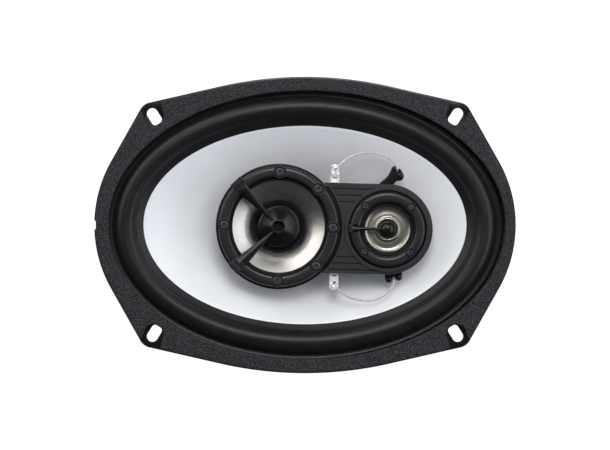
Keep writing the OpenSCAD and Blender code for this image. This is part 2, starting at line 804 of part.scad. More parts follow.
module tweeter_screws() {
    color([0.1, 0.1, 0.11]) at_tweeter() around(tweeter_screw_r, tweeter_screw_turns)
        translate([0, 0, tweeter_seat_z]) screw(1.95, 1.2, 0.9, 6.6, 0.95);
}

module tweeter_bullet() {
    color(black_plastic) at_tweeter() {
        rotate_extrude() polygon(concat(
            [[0, 81]], [for (i = [0:8]) let (u = i / 8) [5 * sqrt(1 - pow(u, 1.8)), 81.4 + 4.2 * u]]));
        rotate(180) {
            translate([19.6, -2.25, 81.6]) cube([1.9, 4.5, 3.2]);
            hull() {
                translate([19.6, -0.65, 82.6]) cube([0.5, 1.3, 1.5]);
                translate([3.4, -0.45, 82.5]) cube([0.5, 0.9, 1.3]);
            }
        }
    }
}

module tweeter_diaphragm() {
    top = [[0, 79.2], [3, 79.1], [5.2, 79], [6.2, 79.9], [7.2, 79], [8.4, 78.6], [10.4, 78.75], [12.4, 80.2]];
    color([0.86, 0.87, 0.88]) at_tweeter() rotate_extrude() polygon(concat(
        top, [for (i = [len(top) - 1:-1:0]) top[i] - [0, 0.3]]));
}

module tweeter_surround() {
    color([0.07, 0.07, 0.08]) at_tweeter() rotate_extrude() polygon([
        [12.45, 79.9], [12.45, 80.2], [13, 80.6], [13.6, 80.7], [14.2, 80.5], [14.4, 80.3], [15, 80.3],
        [15, 80], [14, 80], [13.6, 80.4], [13, 80.3]]);
}

module tweeter_voice_coil() {
    color(copper) at_tweeter() translate([0, 0, 73.4]) ring(6.6, 6, 5.8);
}

basket();
gasket();
pole_yoke();
magnet();
top_plate();
basket_rivets();
terminal_board();
terminal_positive();
terminal_negative();
terminal_rivets();
capacitor_mid();
capacitor_tweeter();
surround();
cone();
voice_coil_former();
voice_coil_winding();
spider();
bridge_base();
bridge_cover();
post_bolt();
post_washer();
solder_tab_upper();
solder_tab_lower();
lead_clip_upper();
lead_clip_lower();
lead_upper();
lead_lower();
mid_housing();
mid_pot();
mid_magnet();
mid_pole_plate();
mid_bezel();
mid_screws();
mid_phase_plug();
mid_diaphragm();
mid_dust_cap();
mid_surround();
mid_voice_coil();
tweeter_housing();
tweeter_pot();
tweeter_magnet();
tweeter_pole_plate();
tweeter_bezel();
tweeter_screws();
tweeter_bullet();
tweeter_diaphragm();
tweeter_surround();
tweeter_voice_coil();
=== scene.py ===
"""Oval coaxial car speaker: looks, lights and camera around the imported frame."""
import json
import math

import bmesh
import bpy
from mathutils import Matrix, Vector, noise
from mathutils.geometry import tessellate_polygon


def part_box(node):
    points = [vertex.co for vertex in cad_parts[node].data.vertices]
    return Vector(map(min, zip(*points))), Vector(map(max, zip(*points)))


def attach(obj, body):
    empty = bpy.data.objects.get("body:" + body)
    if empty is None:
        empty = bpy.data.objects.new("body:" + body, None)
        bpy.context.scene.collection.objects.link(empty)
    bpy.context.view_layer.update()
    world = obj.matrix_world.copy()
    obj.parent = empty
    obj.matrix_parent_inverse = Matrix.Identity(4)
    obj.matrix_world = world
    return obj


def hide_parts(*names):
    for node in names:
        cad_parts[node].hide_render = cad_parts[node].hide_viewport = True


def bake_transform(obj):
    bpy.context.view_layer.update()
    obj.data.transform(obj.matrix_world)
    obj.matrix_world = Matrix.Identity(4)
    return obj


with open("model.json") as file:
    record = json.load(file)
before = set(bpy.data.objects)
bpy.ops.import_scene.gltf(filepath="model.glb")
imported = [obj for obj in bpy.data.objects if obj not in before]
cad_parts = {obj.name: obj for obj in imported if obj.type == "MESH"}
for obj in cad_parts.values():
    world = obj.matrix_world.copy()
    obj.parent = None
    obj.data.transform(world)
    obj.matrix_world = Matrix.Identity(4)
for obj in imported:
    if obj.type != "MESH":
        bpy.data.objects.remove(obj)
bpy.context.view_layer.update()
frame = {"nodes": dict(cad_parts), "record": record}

MM = 0.001
TAU = 2 * math.pi
FRAME, CONE, MID, TWEETER = "frame", "cone_assembly", "mid_assembly", "tweeter_assembly"
scene = bpy.context.scene
scene.view_settings.view_transform = "Standard"


# ---- Camera: straight down the axis ----

VIEW_WIDTH = 339.6 * MM
VIEW_PLANE = 80 * MM
LENS, SENSOR = 100, 36

cam_data = bpy.data.cameras.new("camera")
cam_data.lens = LENS
cam_data.sensor_width = SENSOR
camera = bpy.data.objects.new("camera", cam_data)
scene.collection.objects.link(camera)
camera.location = (0, 0, VIEW_PLANE + VIEW_WIDTH * LENS / SENSOR)
scene.camera = camera


# ---- Mesh helpers, in millimetres ----

def new_object(name, verts, faces, unit=1, weld=False):
    """A smooth object from points, with its faces turned outwards."""
    mesh = bpy.data.meshes.new(name)
    mesh.from_pydata([Vector(v) * unit for v in verts], [], faces)
    bm = bmesh.new()
    bm.from_mesh(mesh)
    if weld:
        bmesh.ops.remove_doubles(bm, verts=bm.verts, dist=1e-6)
    bmesh.ops.recalc_face_normals(bm, faces=bm.faces)
    for f in bm.faces:
        f.smooth = True
    bm.to_mesh(mesh)
    bm.free()
    obj = bpy.data.objects.new(name, mesh)
    scene.collection.objects.link(obj)
    return obj


def finish_mesh(name, verts, faces, material, body, replaced=(), slot=None, angle=35, weld=False):
    """A piece from points in millimetres, sharp where its faces meet at more than the angle. The slot
    argument is not used."""
    obj = new_object(name, verts, faces, MM, weld)
    obj.data.set_sharp_from_angle(angle=math.radians(angle))
    obj.data.materials.append(MATERIALS[material])
    if replaced:
        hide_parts(*replaced)
    if body:
        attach(obj, body)
    return obj


def fillet(points, radius, steps=4, closed=True):
    """Corners of a profile rounded; a point may give its own radius as a third number."""
    out = []
    n = len(points)
    for i, p in enumerate(points):
        r = p[2] if len(p) > 2 else radius
        if not closed and i in (0, n - 1) or r == 0:
            out.append((p[0], p[1]))
            continue
        a, b = points[i - 1], points[(i + 1) % n]
        here = Vector(p[:2])
        to_a, to_b = Vector(a[:2]) - here, Vector(b[:2]) - here
        half = to_a.angle(to_b) / 2
        if half > math.radians(88):
            out.append((p[0], p[1]))
            continue
        reach = min(r / math.tan(half), to_a.length * 0.45, to_b.length * 0.45)
        start, end = here + to_a.normalized() * reach, here + to_b.normalized() * reach
        for k in range(steps + 1):
            t = k / steps
            out.append(tuple((1 - t) ** 2 * start + 2 * t * (1 - t) * here + t * t * end))
    return out


def rings(sections, closed_ring=True, closed_tube=True, caps=False):
    """Faces between equal rows of points."""
    rows, n = len(sections), len(sections[0])
    verts = [p for row in sections for p in row]
    faces = []
    for i in range(rows if closed_ring else rows - 1):
        j = (i + 1) % rows
        for k in range(n if closed_tube else n - 1):
            m = (k + 1) % n
            faces.append((i * n + k, j * n + k, j * n + m, i * n + m))
    if caps:
        faces.append(tuple(range(n)))
        faces.append(tuple(range((rows - 1) * n, rows * n)))
    return verts, faces


def lathe(profile, centre=(0, 0), segments=192, wobble=None):
    """A closed ring solid from a profile of (radius, height)."""
    sections = []
    for i in range(segments):
        t = TAU * i / segments
        row = []
        for r, z in profile:
            if wobble:
                r, z = wobble(t, r, z)
            row.append((centre[0] + r * math.cos(t), centre[1] + r * math.sin(t), z))
        sections.append(row)
    return rings(sections)


def oval_band(profile, segments=288):
    """A closed band round an oval from a profile of (semi-length, semi-width, height)."""
    sections = []
    for i in range(segments):
        t = TAU * i / segments
        sections.append([(a * math.cos(t), b * math.sin(t), z) for a, b, z in profile])
    return rings(sections)


def join(*parts):
    verts, faces = [], []
    for v, f in parts:
        base = len(verts)
        verts += v
        faces += [tuple(i + base for i in face) for face in f]
    return verts, faces


def turned(part, turn=0, move=(0, 0, 0)):
    """A part turned about Z, in degrees, and moved."""
    c, s = math.cos(math.radians(turn)), math.sin(math.radians(turn))
    verts = [(c * x - s * y + move[0], s * x + c * y + move[1], z + move[2]) for x, y, z in part[0]]
    return verts, part[1]


def tube(points, radius, sides, shape=None):
    """A tube along points; shape(i, k) scales the radius of point k in ring i."""
    pts = [Vector(p) for p in points]
    sections = []
    for i, p in enumerate(pts):
        t = (pts[min(i + 1, len(pts) - 1)] - pts[max(i - 1, 0)]).normalized()
        u = t.cross(Vector((0, 0, 1)))
        u = u.normalized() if u.length > 1e-4 else Vector((1, 0, 0))
        v = u.cross(t)
        row = []
        for k in range(sides):
            a = TAU * k / sides
            r = (radius[i] if hasattr(radius, "__len__") else radius) * (shape(i, k) if shape else 1)
            row.append(tuple(p + (u * math.cos(a) + v * math.sin(a)) * r))
        sections.append(row)
    return rings(sections, closed_ring=False, caps=True)


def smooth_path(points, step):
    """A Catmull-Rom line through the points, resampled at about a given step."""
    pts = [Vector(p) for p in points]
    fine = []
    for i in range(len(pts) - 1):
        p0, p1, p2, p3 = (pts[min(max(j, 0), len(pts) - 1)] for j in (i - 1, i, i + 1, i + 2))
        n = max(2, round((p2 - p1).length / step))
        for k in range(n):
            t = k / n
            fine.append(0.5 * (2 * p1 + (p2 - p0) * t + (2 * p0 - 5 * p1 + 4 * p2 - p3) * t * t
                               + (3 * p1 - p0 - 3 * p2 + p3) * t ** 3))
    return fine + [pts[-1]]


# ---- Materials ----

MATERIALS = {}


class Shade:
    """A node material, with constants set on the shader's own sockets."""

    def __init__(self, name, **constants):
        self.material = bpy.data.materials.new(name)
        self.material.use_nodes = True
        MATERIALS[name] = self.material
        tree = self.material.node_tree
        self.nodes, self.links = tree.nodes, tree.links
        self.shader = self.nodes["Principled BSDF"]
        for key, value in constants.items():
            socket = self.shader.inputs[key.replace("_", " ")]
            socket.default_value = (*value, 1) if hasattr(value, "__len__") else value
        self.where = self.nodes.new("ShaderNodeTexCoord").outputs["Object"]

    def node(self, kind, inputs=(), **settings):
        made = self.nodes.new("ShaderNode" + kind)
        for key, value in settings.items():
            setattr(made, key, value)
        for key, value in dict(inputs).items():
            if isinstance(value, bpy.types.NodeSocket):
                self.links.new(value, made.inputs[key])
            else:
                made.inputs[key].default_value = value
        return made

    def scaled(self, x, y, z):
        return self.node("Mapping", {"Vector": self.where, "Scale": (x, y, z)}).outputs[0]

    def noise(self, size, detail=3, rough=0.55, vector=None):
        return self.node("TexNoise", {"Vector": vector or self.where, "Scale": 1 / (size * MM),
                                      "Detail": detail, "Roughness": rough}).outputs[0]

    def cells(self, size, smooth=0):
        """Distance to the nearest of many scattered points."""
        inputs = {"Vector": self.where, "Scale": 1 / (size * MM)}
        if smooth:
            inputs["Smoothness"] = smooth
        return self.node("TexVoronoi", inputs, feature="SMOOTH_F1" if smooth else "F1").outputs["Distance"]

    def radius(self, centre=(0, 0)):
        """Distance from an axis, in millimetres."""
        moved = self.node("Mapping", {"Vector": self.where, "Location": (-centre[0] * MM, -centre[1] * MM, 0),
                                      "Scale": (1, 1, 0)}).outputs[0]
        length = self.node("VectorMath", {0: moved}, operation="LENGTH").outputs["Value"]
        return self.math("MULTIPLY", length, 1 / MM)

    def height(self):
        """Height in the object's frame, in millimetres."""
        return self.math("MULTIPLY", self.node("SeparateXYZ", {0: self.where}).outputs["Z"], 1 / MM)

    def math(self, operation, a, b=0.0):
        return self.node("Math", {0: a, 1: b}, operation=operation).outputs[0]

    def span(self, value, low, high, to_low=0.0, to_high=1.0):
        return self.node("MapRange", {"Value": value, "From Min": low, "From Max": high,
                                      "To Min": to_low, "To Max": to_high}).outputs[0]

    def blend(self, factor, a, b):
        made = self.node("Mix", data_type="RGBA")
        for key, value in (("Factor", factor), ("A", a), ("B", b)):
            socket = next(s for s in made.inputs if s.name == key and s.enabled)
            if isinstance(value, bpy.types.NodeSocket):
                self.links.new(value, socket)
            else:
                socket.default_value = (*value, 1) if hasattr(value, "__len__") else value
        return next(s for s in made.outputs if s.enabled)

    def colour(self, value):
        self.links.new(value, self.shader.inputs["Base Color"])

    def patchy_rough(self, size, detail, low, high):
        self.rough(self.span(self.noise(size, detail), 0.3, 0.7, low, high))

    def rough(self, value):
        self.links.new(value, self.shader.inputs["Roughness"])

    def bump(self, height, strength, distance):
        """Adds a layer of relief; distance in millimetres."""
        inputs = {"Height": height, "Strength": strength, "Distance": distance * MM}
        if self.shader.inputs["Normal"].links:
            inputs["Normal"] = self.shader.inputs["Normal"].links[0].from_socket
        self.links.new(self.node("Bump", inputs).outputs[0], self.shader.inputs["Normal"])

    def worn(self, amount=0.53, width=0.06):
        """1 on outer edges, from the mesh's own pointedness."""
        point = self.node("NewGeometry").outputs["Pointiness"]
        return self.span(point, amount, amount + width)


def coloured(name, colour, lighter, size=6, **constants):
    s = Shade(name, **constants)
    s.colour(s.blend(s.span(s.noise(size, 4), 0.3, 0.7), colour, lighter))
    return s


def centre_of(node):
    lo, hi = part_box(node)
    return ((lo.x + hi.x) / 2 / MM, (lo.y + hi.y) / 2 / MM)


MID_C = centre_of("mid_diaphragm")
TWEETER_C = centre_of("tweeter_diaphragm")

# Glossy dip paint over pressed steel, with orange peel, specks and rubbed edges
s = Shade("black_steel", Specular_IOR_Level=0.35, Coat_Weight=0.2, Coat_Roughness=0.12)
peel = s.noise(1.6, 2)
worn = s.math("MULTIPLY", s.worn(0.52, 0.05), s.span(s.noise(3, 5), 0.5, 0.62))
paint = s.blend(s.span(s.noise(20, 3), 0.35, 0.7), (0.005, 0.005, 0.0055), (0.009, 0.009, 0.010))
s.colour(s.blend(worn, paint, (0.025, 0.025, 0.027)))
s.patchy_rough(6, 5, 0.18, 0.3)
s.bump(peel, 0.25, 0.05)
s.bump(s.noise(0.35, 2), 0.12, 0.02)

# Pebbled foam, with painted shade darkening the hollows between its pebbles
s = Shade("gasket_foam", Specular_IOR_Level=0.35)
pebble = s.cells(0.8, smooth=0.3)
grain = s.noise(0.34, 3)
raised = s.span(pebble, 0.15, 0.75, 1, 0)
tone = s.blend(s.span(s.noise(9, 3), 0.3, 0.7), (0.016, 0.0165, 0.0185), (0.023, 0.0235, 0.027))
# Painted shade: near black in the hollows between pebbles, the foam's own tone on their tops
painted_pit_shade = s.blend(raised, (0.003, 0.003, 0.004), tone)
s.colour(s.blend(s.span(grain, 0.54, 0.7), painted_pit_shade, (0.10, 0.102, 0.11)))
s.rough(s.span(grain, 0.3, 0.7, 0.55, 0.8))
s.bump(raised, 0.9, 0.22)
s.bump(grain, 0.6, 0.1)

# Satin butyl rubber with a cloudy tone and fine uneven relief
s = Shade("surround_rubber", Specular_IOR_Level=0.5, Sheen_Weight=0.02, Sheen_Roughness=0.5)
bloom = s.noise(7, 4)
s.colour(s.blend(s.span(bloom, 0.35, 0.75), (0.0045, 0.0045, 0.005), (0.008, 0.008, 0.0088)))
s.rough(s.span(s.noise(2.5, 5), 0.25, 0.75, 0.38, 0.46))
s.bump(s.noise(0.5, 3), 0.18, 0.03)
s.bump(s.noise(5, 2), 0.15, 0.08)

# Coated paper cone: pale metallic lacquer over short fibres
s = Shade("cone_grey", Metallic=0.12, Specular_IOR_Level=0.4)
fibre = s.noise(0.9, 5, 0.65, s.scaled(1, 1, 0.3))
flake = s.cells(0.28)
lacquer = s.blend(s.span(s.noise(26, 3), 0.3, 0.7), (0.655, 0.662, 0.68), (0.71, 0.717, 0.735))
speck = s.blend(s.span(flake, 0.0, 0.32), (0.80, 0.81, 0.83), lacquer)
s.colour(s.blend(s.span(fibre, 0.55, 0.8, 0, 0.35), speck, (0.58, 0.585, 0.60)))
s.rough(s.span(fibre, 0.3, 0.7, 0.42, 0.56))
s.bump(fibre, 0.16, 0.05)
s.bump(s.noise(0.25, 2), 0.10, 0.02)

# Zinc plate over turned steel: fine rings, a faint yellow and blue cast, dull patches
s = Shade("plated_steel", Metallic=1.0)
rings_of = s.math("SINE", s.math("MULTIPLY", s.radius(), 21.0))
cast = s.blend(s.span(s.noise(11, 3), 0.35, 0.65), (0.38, 0.39, 0.41), (0.43, 0.42, 0.36))
s.colour(s.blend(s.span(s.noise(2.2, 5), 0.6, 0.8), cast, (0.26, 0.26, 0.27)))
s.patchy_rough(3, 5, 0.26, 0.44)
s.bump(rings_of, 0.06, 0.02)
s.bump(s.noise(0.6, 3), 0.12, 0.02)

# Ground ferrite: dull dark grey with pits, chips at the edges and grinding lines
s = Shade("ferrite", Specular_IOR_Level=0.45)
pits = s.cells(0.7)
chips = s.math("MULTIPLY", s.worn(0.51, 0.05), s.span(s.noise(1.6, 4), 0.48, 0.56))
body = s.blend(s.span(s.noise(8, 5), 0.3, 0.7), (0.032, 0.033, 0.036), (0.055, 0.056, 0.060))
s.colour(s.blend(chips, s.blend(s.span(pits, 0.03, 0.16), (0.012, 0.012, 0.013), body), (0.13, 0.13, 0.13)))
s.patchy_rough(2, 4, 0.5, 0.72)
s.bump(s.span(pits, 0.03, 0.2), 0.35, 0.08)
s.bump(s.noise(0.8, 3, 0.6, s.scaled(1, 1, 9)), 0.25, 0.05)

# Enamelled copper wire
s = coloured("winding", (0.42, 0.13, 0.045), (0.60, 0.22, 0.08), 1.5, Metallic=0.9, Coat_Weight=0.6,
             Coat_Roughness=0.08)
s.patchy_rough(1, 3, 0.22, 0.36)
s.bump(s.noise(0.4, 2), 0.1, 0.02)

# Amber polyimide film with a lap seam's mottling
s = coloured("former", (0.35, 0.15, 0.025), (0.46, 0.22, 0.05), 4, Specular_IOR_Level=0.6, Coat_Weight=0.4,
             Coat_Roughness=0.1)
s.patchy_rough(2, 3, 0.18, 0.32)
s.bump(s.noise(2.5, 2), 0.1, 0.05)


def weave(s, pitch, depth, dark, light):
    """Plain weave from two sets of threads; returns its relief."""
    def wave(direction):
        made = s.node("TexWave", {"Vector": s.where, "Scale": 0.5 / (pitch * MM),
                                  "Distortion": 0.6, "Detail": 1.0, "Detail Scale": 2.0},
                      wave_type="BANDS", bands_direction=direction)
        return made.outputs["Fac"]
    relief = s.math("MAXIMUM", wave("X"), wave("Y"))
    s.colour(s.blend(relief, dark, s.blend(s.span(s.noise(5, 4), 0.3, 0.7), light,
                                           tuple(c * 0.8 for c in light))))
    s.bump(relief, 0.8, depth)
    return relief


# Cotton dipped in phenolic resin
s = Shade("spider_cloth", Specular_IOR_Level=0.4)
relief = weave(s, 0.55, 0.12, (0.14, 0.08, 0.02), (0.46, 0.31, 0.10))
s.rough(s.span(relief, 0, 1, 0.7, 0.45))

# Satin moulded plastic of the bridge
s = Shade("bridge_plastic", Specular_IOR_Level=0.5)
grain = s.noise(0.55, 4, 0.6)
drift = s.blend(s.span(s.noise(16, 2), 0.3, 0.7), (0.0155, 0.0155, 0.017), (0.0205, 0.0205, 0.0225))
s.colour(s.blend(s.span(grain, 0.62, 0.8, 0, 0.6), drift, (0.034, 0.034, 0.037)))
s.patchy_rough(4, 4, 0.36, 0.46)
s.bump(grain, 0.3, 0.05)

# Smoother, slightly glossy plastic of the two bezels, with painted shade: near black below the bead crowns
# and inside each bead, over the plug, the bullet and the arms' inner parts
s = Shade("bezel_plastic", Specular_IOR_Level=0.5, Coat_Weight=0.15, Coat_Roughness=0.25)
grain = s.noise(0.4, 3)
drift = s.blend(s.span(s.noise(10, 3), 0.3, 0.7), (0.0115, 0.0115, 0.0125), (0.0155, 0.0155, 0.017))
# Painted shade mask: 1 on the bead crowns, 0 low down and inside each bead, where shade is painted near black
painted_shade_mask = s.math("MINIMUM", s.span(s.height(), 82.0, 83.9), s.math(
    "MINIMUM", s.span(s.radius(MID_C), 27.6, 28.6), s.span(s.radius(TWEETER_C), 14.8, 15.6)))
s.colour(s.blend(painted_shade_mask, (0.0035, 0.0035, 0.004), drift))
s.patchy_rough(3, 3, 0.28, 0.33)
s.bump(grain, 0.06, 0.012)


def film(name, centre, tint, low, high):
    """Metallised film: faint rings from its forming and cloudy patches."""
    s = Shade(name, Metallic=1.0)
    ring_lines = s.math("SINE", s.math("MULTIPLY", s.radius(centre), 6.0))
    s.colour(s.blend(s.span(s.noise(5, 4), 0.35, 0.7), tint, tuple(c * 0.86 for c in tint)))
    s.patchy_rough(6, 3, low, high)
    s.bump(ring_lines, 0.01, 0.01)


film("metal_film", MID_C, (0.80, 0.775, 0.745), 0.3, 0.34)
film("tweeter_film", TWEETER_C, (0.66, 0.63, 0.55), 0.31, 0.35)

s = coloured("soft_edge", (0.004, 0.004, 0.0045), (0.008, 0.008, 0.009), 3, Specular_IOR_Level=0.4)
s.patchy_rough(1.5, 4, 0.5, 0.68)
s.bump(s.noise(0.5, 3), 0.25, 0.04)

s = coloured("screw_black", (0.07, 0.07, 0.074), (0.14, 0.14, 0.147), 1.2, Metallic=0.8,
             Specular_IOR_Level=0.5)
s.patchy_rough(0.8, 4, 0.26, 0.42)
s.bump(s.noise(0.4, 3), 0.2, 0.03)

s = coloured("clip_plastic", (0.004, 0.004, 0.0045), (0.008, 0.008, 0.009), 3, Specular_IOR_Level=0.55)
s.patchy_rough(2, 3, 0.14, 0.22)
s.bump(s.noise(1.2, 2), 0.12, 0.06)

# Bright tin with frozen ripples and grey patches
s = Shade("tinned", Metallic=0.5)
s.colour(s.blend(s.span(s.noise(1.4, 4), 0.45, 0.75), (0.95, 0.94, 0.91), (0.72, 0.70, 0.66)))
s.patchy_rough(0.9, 4, 0.12, 0.24)
s.bump(s.noise(1.8, 2), 0.2, 0.12)

# Duller tin on the terminal blades, with drawn streaks along them
s = Shade("blade_tin", Metallic=1.0)
drawn = s.noise(0.3, 4, 0.6, s.scaled(1, 1, 0.12))
s.colour(s.blend(s.span(drawn, 0.35, 0.7), (0.46, 0.45, 0.42), (0.60, 0.59, 0.55)))
s.rough(s.span(drawn, 0.3, 0.7, 0.24, 0.4))
s.bump(drawn, 0.15, 0.02)

s = coloured("braid", (0.58, 0.49, 0.43), (0.92, 0.86, 0.81), 0.9, Metallic=0.6, Specular_IOR_Level=0.5)
s.patchy_rough(0.5, 3, 0.3, 0.45)
s.bump(s.noise(0.12, 2), 0.3, 0.02)

# Phenolic paper board
s = Shade("fibre_board", Specular_IOR_Level=0.45)
fibre = s.noise(0.5, 5, 0.7, s.scaled(1, 0.35, 1))
s.colour(s.blend(s.span(fibre, 0.35, 0.68), (0.13, 0.06, 0.022), (0.26, 0.14, 0.055)))
s.rough(s.span(fibre, 0.3, 0.7, 0.32, 0.5))
s.bump(fibre, 0.2, 0.04)


def sleeve(name, colour):
    """Glossy shrink sleeve."""
    s = Shade(name, Specular_IOR_Level=0.5, Coat_Weight=0.5, Coat_Roughness=0.1)
    s.colour(s.blend(s.span(s.noise(3, 3), 0.3, 0.7), colour, tuple(c * 1.4 for c in colour)))
    s.patchy_rough(1.5, 3, 0.2, 0.34)
    s.bump(s.noise(1.6, 2), 0.12, 0.06)


sleeve("capacitor_blue", (0.015, 0.05, 0.2))
sleeve("capacitor_red", (0.24, 0.025, 0.015))

# Glue: glossy black cement and hot-melt
s = coloured("cement", (0.006, 0.006, 0.006), (0.012, 0.011, 0.010), 2, Specular_IOR_Level=0.5)
s.patchy_rough(1.2, 3, 0.16, 0.3)
s.bump(s.noise(1.5, 2), 0.3, 0.15)
s = coloured("hot_melt", (0.60, 0.50, 0.30), (0.70, 0.62, 0.42), 3, Specular_IOR_Level=0.5,
             Subsurface_Weight=0.25, Subsurface_Scale=1.5 * MM)
s.patchy_rough(2, 3, 0.22, 0.36)
s.bump(s.noise(2.2, 2), 0.25, 0.2)


# ---- The two braided leads, at the CAD's own route points ----

UPPER_ROUTE = [
    (17.6, 31.4, 79), (19.6, 33.8, 79), (21.9, 35.8, 78.8), (24.2, 37.4, 78.6),
    (26.7, 38.7, 78.3), (29.4, 39.6, 78), (32.2, 40.1, 77.7), (35, 40.3, 77.4),
    (37.8, 40.2, 77.1), (40.6, 39.8, 76.9), (43.3, 39.1, 76.7), (45.9, 38, 76.6),
    (48.2, 36.6, 76.5), (50.1, 34.9, 76.4), (51.3, 32.8, 76.3), (51.7, 30.6, 76.2)]
LOWER_ROUTE = [
    (16.7, -33.8, 79), (18.6, -36, 79), (20.8, -37.9, 78.8), (23.3, -39.5, 78.6),
    (25.9, -40.7, 78.3), (28.6, -41.5, 78), (31.4, -42, 77.7), (34.2, -42.2, 77.4),
    (37, -42.2, 77.1), (39.7, -41.7, 76.9), (42.2, -40.7, 76.7), (44.5, -39.3, 76.6),
    (46.5, -37.5, 76.5), (48.1, -35.4, 76.4), (49.3, -33, 76.3), (49.8, -30.5, 76.2)]
LEAD_D = 1.1
LEAD_STEP = 0.2
BRAID_STRANDS = 4
BRAID_PITCH = 6.4
BRAID_DEPTH = 0.34
LEAD_SIDES = 24


def braid_relief(i, k):
    """Two sets of strands that cross over and under each other."""
    around, along = k / LEAD_SIDES, i * LEAD_STEP / BRAID_PITCH
    u, v = (around - along) * BRAID_STRANDS, (around + along) * BRAID_STRANDS
    right = 1 - (2 * (u % 1) - 1) ** 2
    left = 1 - (2 * (v % 1) - 1) ** 2
    over = (math.floor(u) + math.floor(v)) % 2
    return 1 - BRAID_DEPTH * (1 - max(right, left * 0.6) if over else 1 - max(left, right * 0.6))


def lead(name, route, node):
    path = smooth_path(route, LEAD_STEP)
    verts, faces = tube(path, LEAD_D / 2, LEAD_SIDES, braid_relief)
    obj = finish_mesh(name, verts, faces, "braid", FRAME, [node], angle=80)


lead("lead_braid_upper", UPPER_ROUTE, "lead_upper")
lead("lead_braid_lower", LOWER_ROUTE, "lead_lower")


# ---- Cone, its surround and its spider ----

CONE_A, CONE_B = 90.2, 55.3
NECK_R, NECK_Z, RIM_Z = 14, 42, 74.5
LANDING_Z = 75.2


def cone_point(t):
    return (NECK_R + (CONE_A - NECK_R) * t, NECK_R + (CONE_B - NECK_R) * t,
            NECK_Z + (RIM_Z - NECK_Z) * t ** 0.9)


steps = [i / 36 for i in range(37)]
rim = [(CONE_A + d, CONE_B + d, RIM_Z) for d in (0.6, 2, 4.2)]
top = [(13.2, 13.2, NECK_Z + 0.3)] + [cone_point(t) for t in steps] + rim
under = [(a, b, z - 0.8) for a, b, z in reversed(top)]
finish_mesh("cone_skin", *oval_band(top + under), "cone_grey", CONE, ["cone"], angle=40)

bead = fillet([(13.15, 41.0), (16.6, 41.7), (17.2, 43.6), (15.2, 44.1), (13.15, 44.3)], 0.8)
finish_mesh("cone_neck_cement", *lathe(bead, wobble=lambda t, r, z: (
    r + (0.25 * math.sin(5 * t) + 0.15 * math.sin(11 * t + 1) if r > 14 else 0), z)),
    "cement", CONE, slot="surround_rubber")

# The surround: each point is (distance outside the cone's edge, height)
ROLL_IN, ROLL_OUT, ROLL_H, RUBBER_T = 4.3, 16.2, 5.8, 0.8
ROLL_MID, ROLL_HALF = (ROLL_IN + ROLL_OUT) / 2, (ROLL_OUT - ROLL_IN) / 2
roll_z = LANDING_Z + RUBBER_T
outer = [(0.25, 74.55), (0.25, 74.85), (0.42, 75.0), (1.0, 75.3), (1.8, 75.76), (2.7, 76.28), (3.5, 76.76)]
outer += [(ROLL_MID + ROLL_HALF * math.cos(math.radians(a)), roll_z + ROLL_H * math.sin(math.radians(a)))
          for a in range(160, 7, -4)]
outer += [(16.6, 76.25), (17.1, 76.05), (17.8, 76.0), (18.5, 76.02), (19.0, 76.3), (19.45, 76.35),
          (19.6, 76.1)]
inner = [(19.6, 75.25), (16.4, 75.25)]
inner += [(ROLL_MID + (ROLL_HALF - RUBBER_T) * math.cos(math.radians(a)),
           roll_z + (ROLL_H - RUBBER_T) * math.sin(math.radians(a))) for a in range(12, 169, 6)]
inner += [(4.6, 74.75), (3.5, 74.55)]
profile = outer + inner


def blended(name, part, material, replaced):
    obj = finish_mesh(name, *part, material, None, replaced, angle=40)
    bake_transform(obj)


blended("surround_roll", oval_band([(CONE_A + d, CONE_B + d, z) for d, z in profile], 360),
        "surround_rubber", ["surround"])

SPIDER_IN, SPIDER_OUT, SPIDER_Z = 16, 44, 37.5


def spider_z(r):
    if r < SPIDER_IN or r > SPIDER_OUT:
        return SPIDER_Z
    return SPIDER_Z + 1.1 * math.sin(TAU * 5 * (r - SPIDER_IN) / (SPIDER_OUT - SPIDER_IN))


reach = [13.15, 14.5] + [SPIDER_IN + (SPIDER_OUT - SPIDER_IN) * i / 80 for i in range(81)] + [46, 49, 52.5]
profile = [(r, spider_z(r) + 0.5) for r in reach] + [(r, spider_z(r)) for r in reversed(reach)]
blended("spider_cloth_ring", lathe(profile, segments=160),
        "spider_cloth", ["spider"])


def winding(name, centre, r_in, r_out, z0, z1, wire, body, replaced):
    """A coil with one ridge for each turn of its wire."""
    profile = [(r_in, z0)]
    turns = round((z1 - z0) / wire)
    for i in range(turns):
        for k in range(5):
            a = math.pi * k / 4
            profile.append((r_out - wire / 2 + wire / 2 * math.sin(a),
                            z0 + wire * (i + (1 - math.cos(a)) / 2)))
    profile.append((r_in, z1))
    finish_mesh(name, *lathe(profile, centre, 96), "winding", body, replaced, angle=50)


winding("main_winding", (0, 0), 13.1, 13.9, 19.5, 31.5, 0.4, CONE, ["voice_coil_winding"])


# ---- Basket ----

WALL_A, WALL_B = 111, 75.8
FLANGE_Z = 79.2
SHEET = 1.2


def arc(c, r, start, end, n):
    return [(c[0] + r * math.cos(math.radians(start + (end - start) * i / n)),
             c[1] + r * math.sin(math.radians(start + (end - start) * i / n))) for i in range(n + 1)]


SIDE_R, LONG_R, CORNER_R, SIDE_TURN, LONG_TURN = 72, 212, 7.8, 29.4, 77.1
HALF_LENGTH, HALF_WIDTH = 117.5, 82.65
SIDE_C, LONG_C = (HALF_LENGTH - SIDE_R, 0), (0, HALF_WIDTH - LONG_R)
side_n = Vector((math.cos(math.radians(SIDE_TURN)), math.sin(math.radians(SIDE_TURN))))
long_n = Vector((math.cos(math.radians(LONG_TURN)), math.sin(math.radians(LONG_TURN))))
side_reach = Vector(SIDE_C).dot(side_n) + SIDE_R - CORNER_R
long_reach = Vector(LONG_C).dot(long_n) + LONG_R - CORNER_R
cross_n = side_n.x * long_n.y - side_n.y * long_n.x
CORNER_C = ((side_reach * long_n.y - long_reach * side_n.y) / cross_n,
            (side_n.x * long_reach - long_n.x * side_reach) / cross_n)


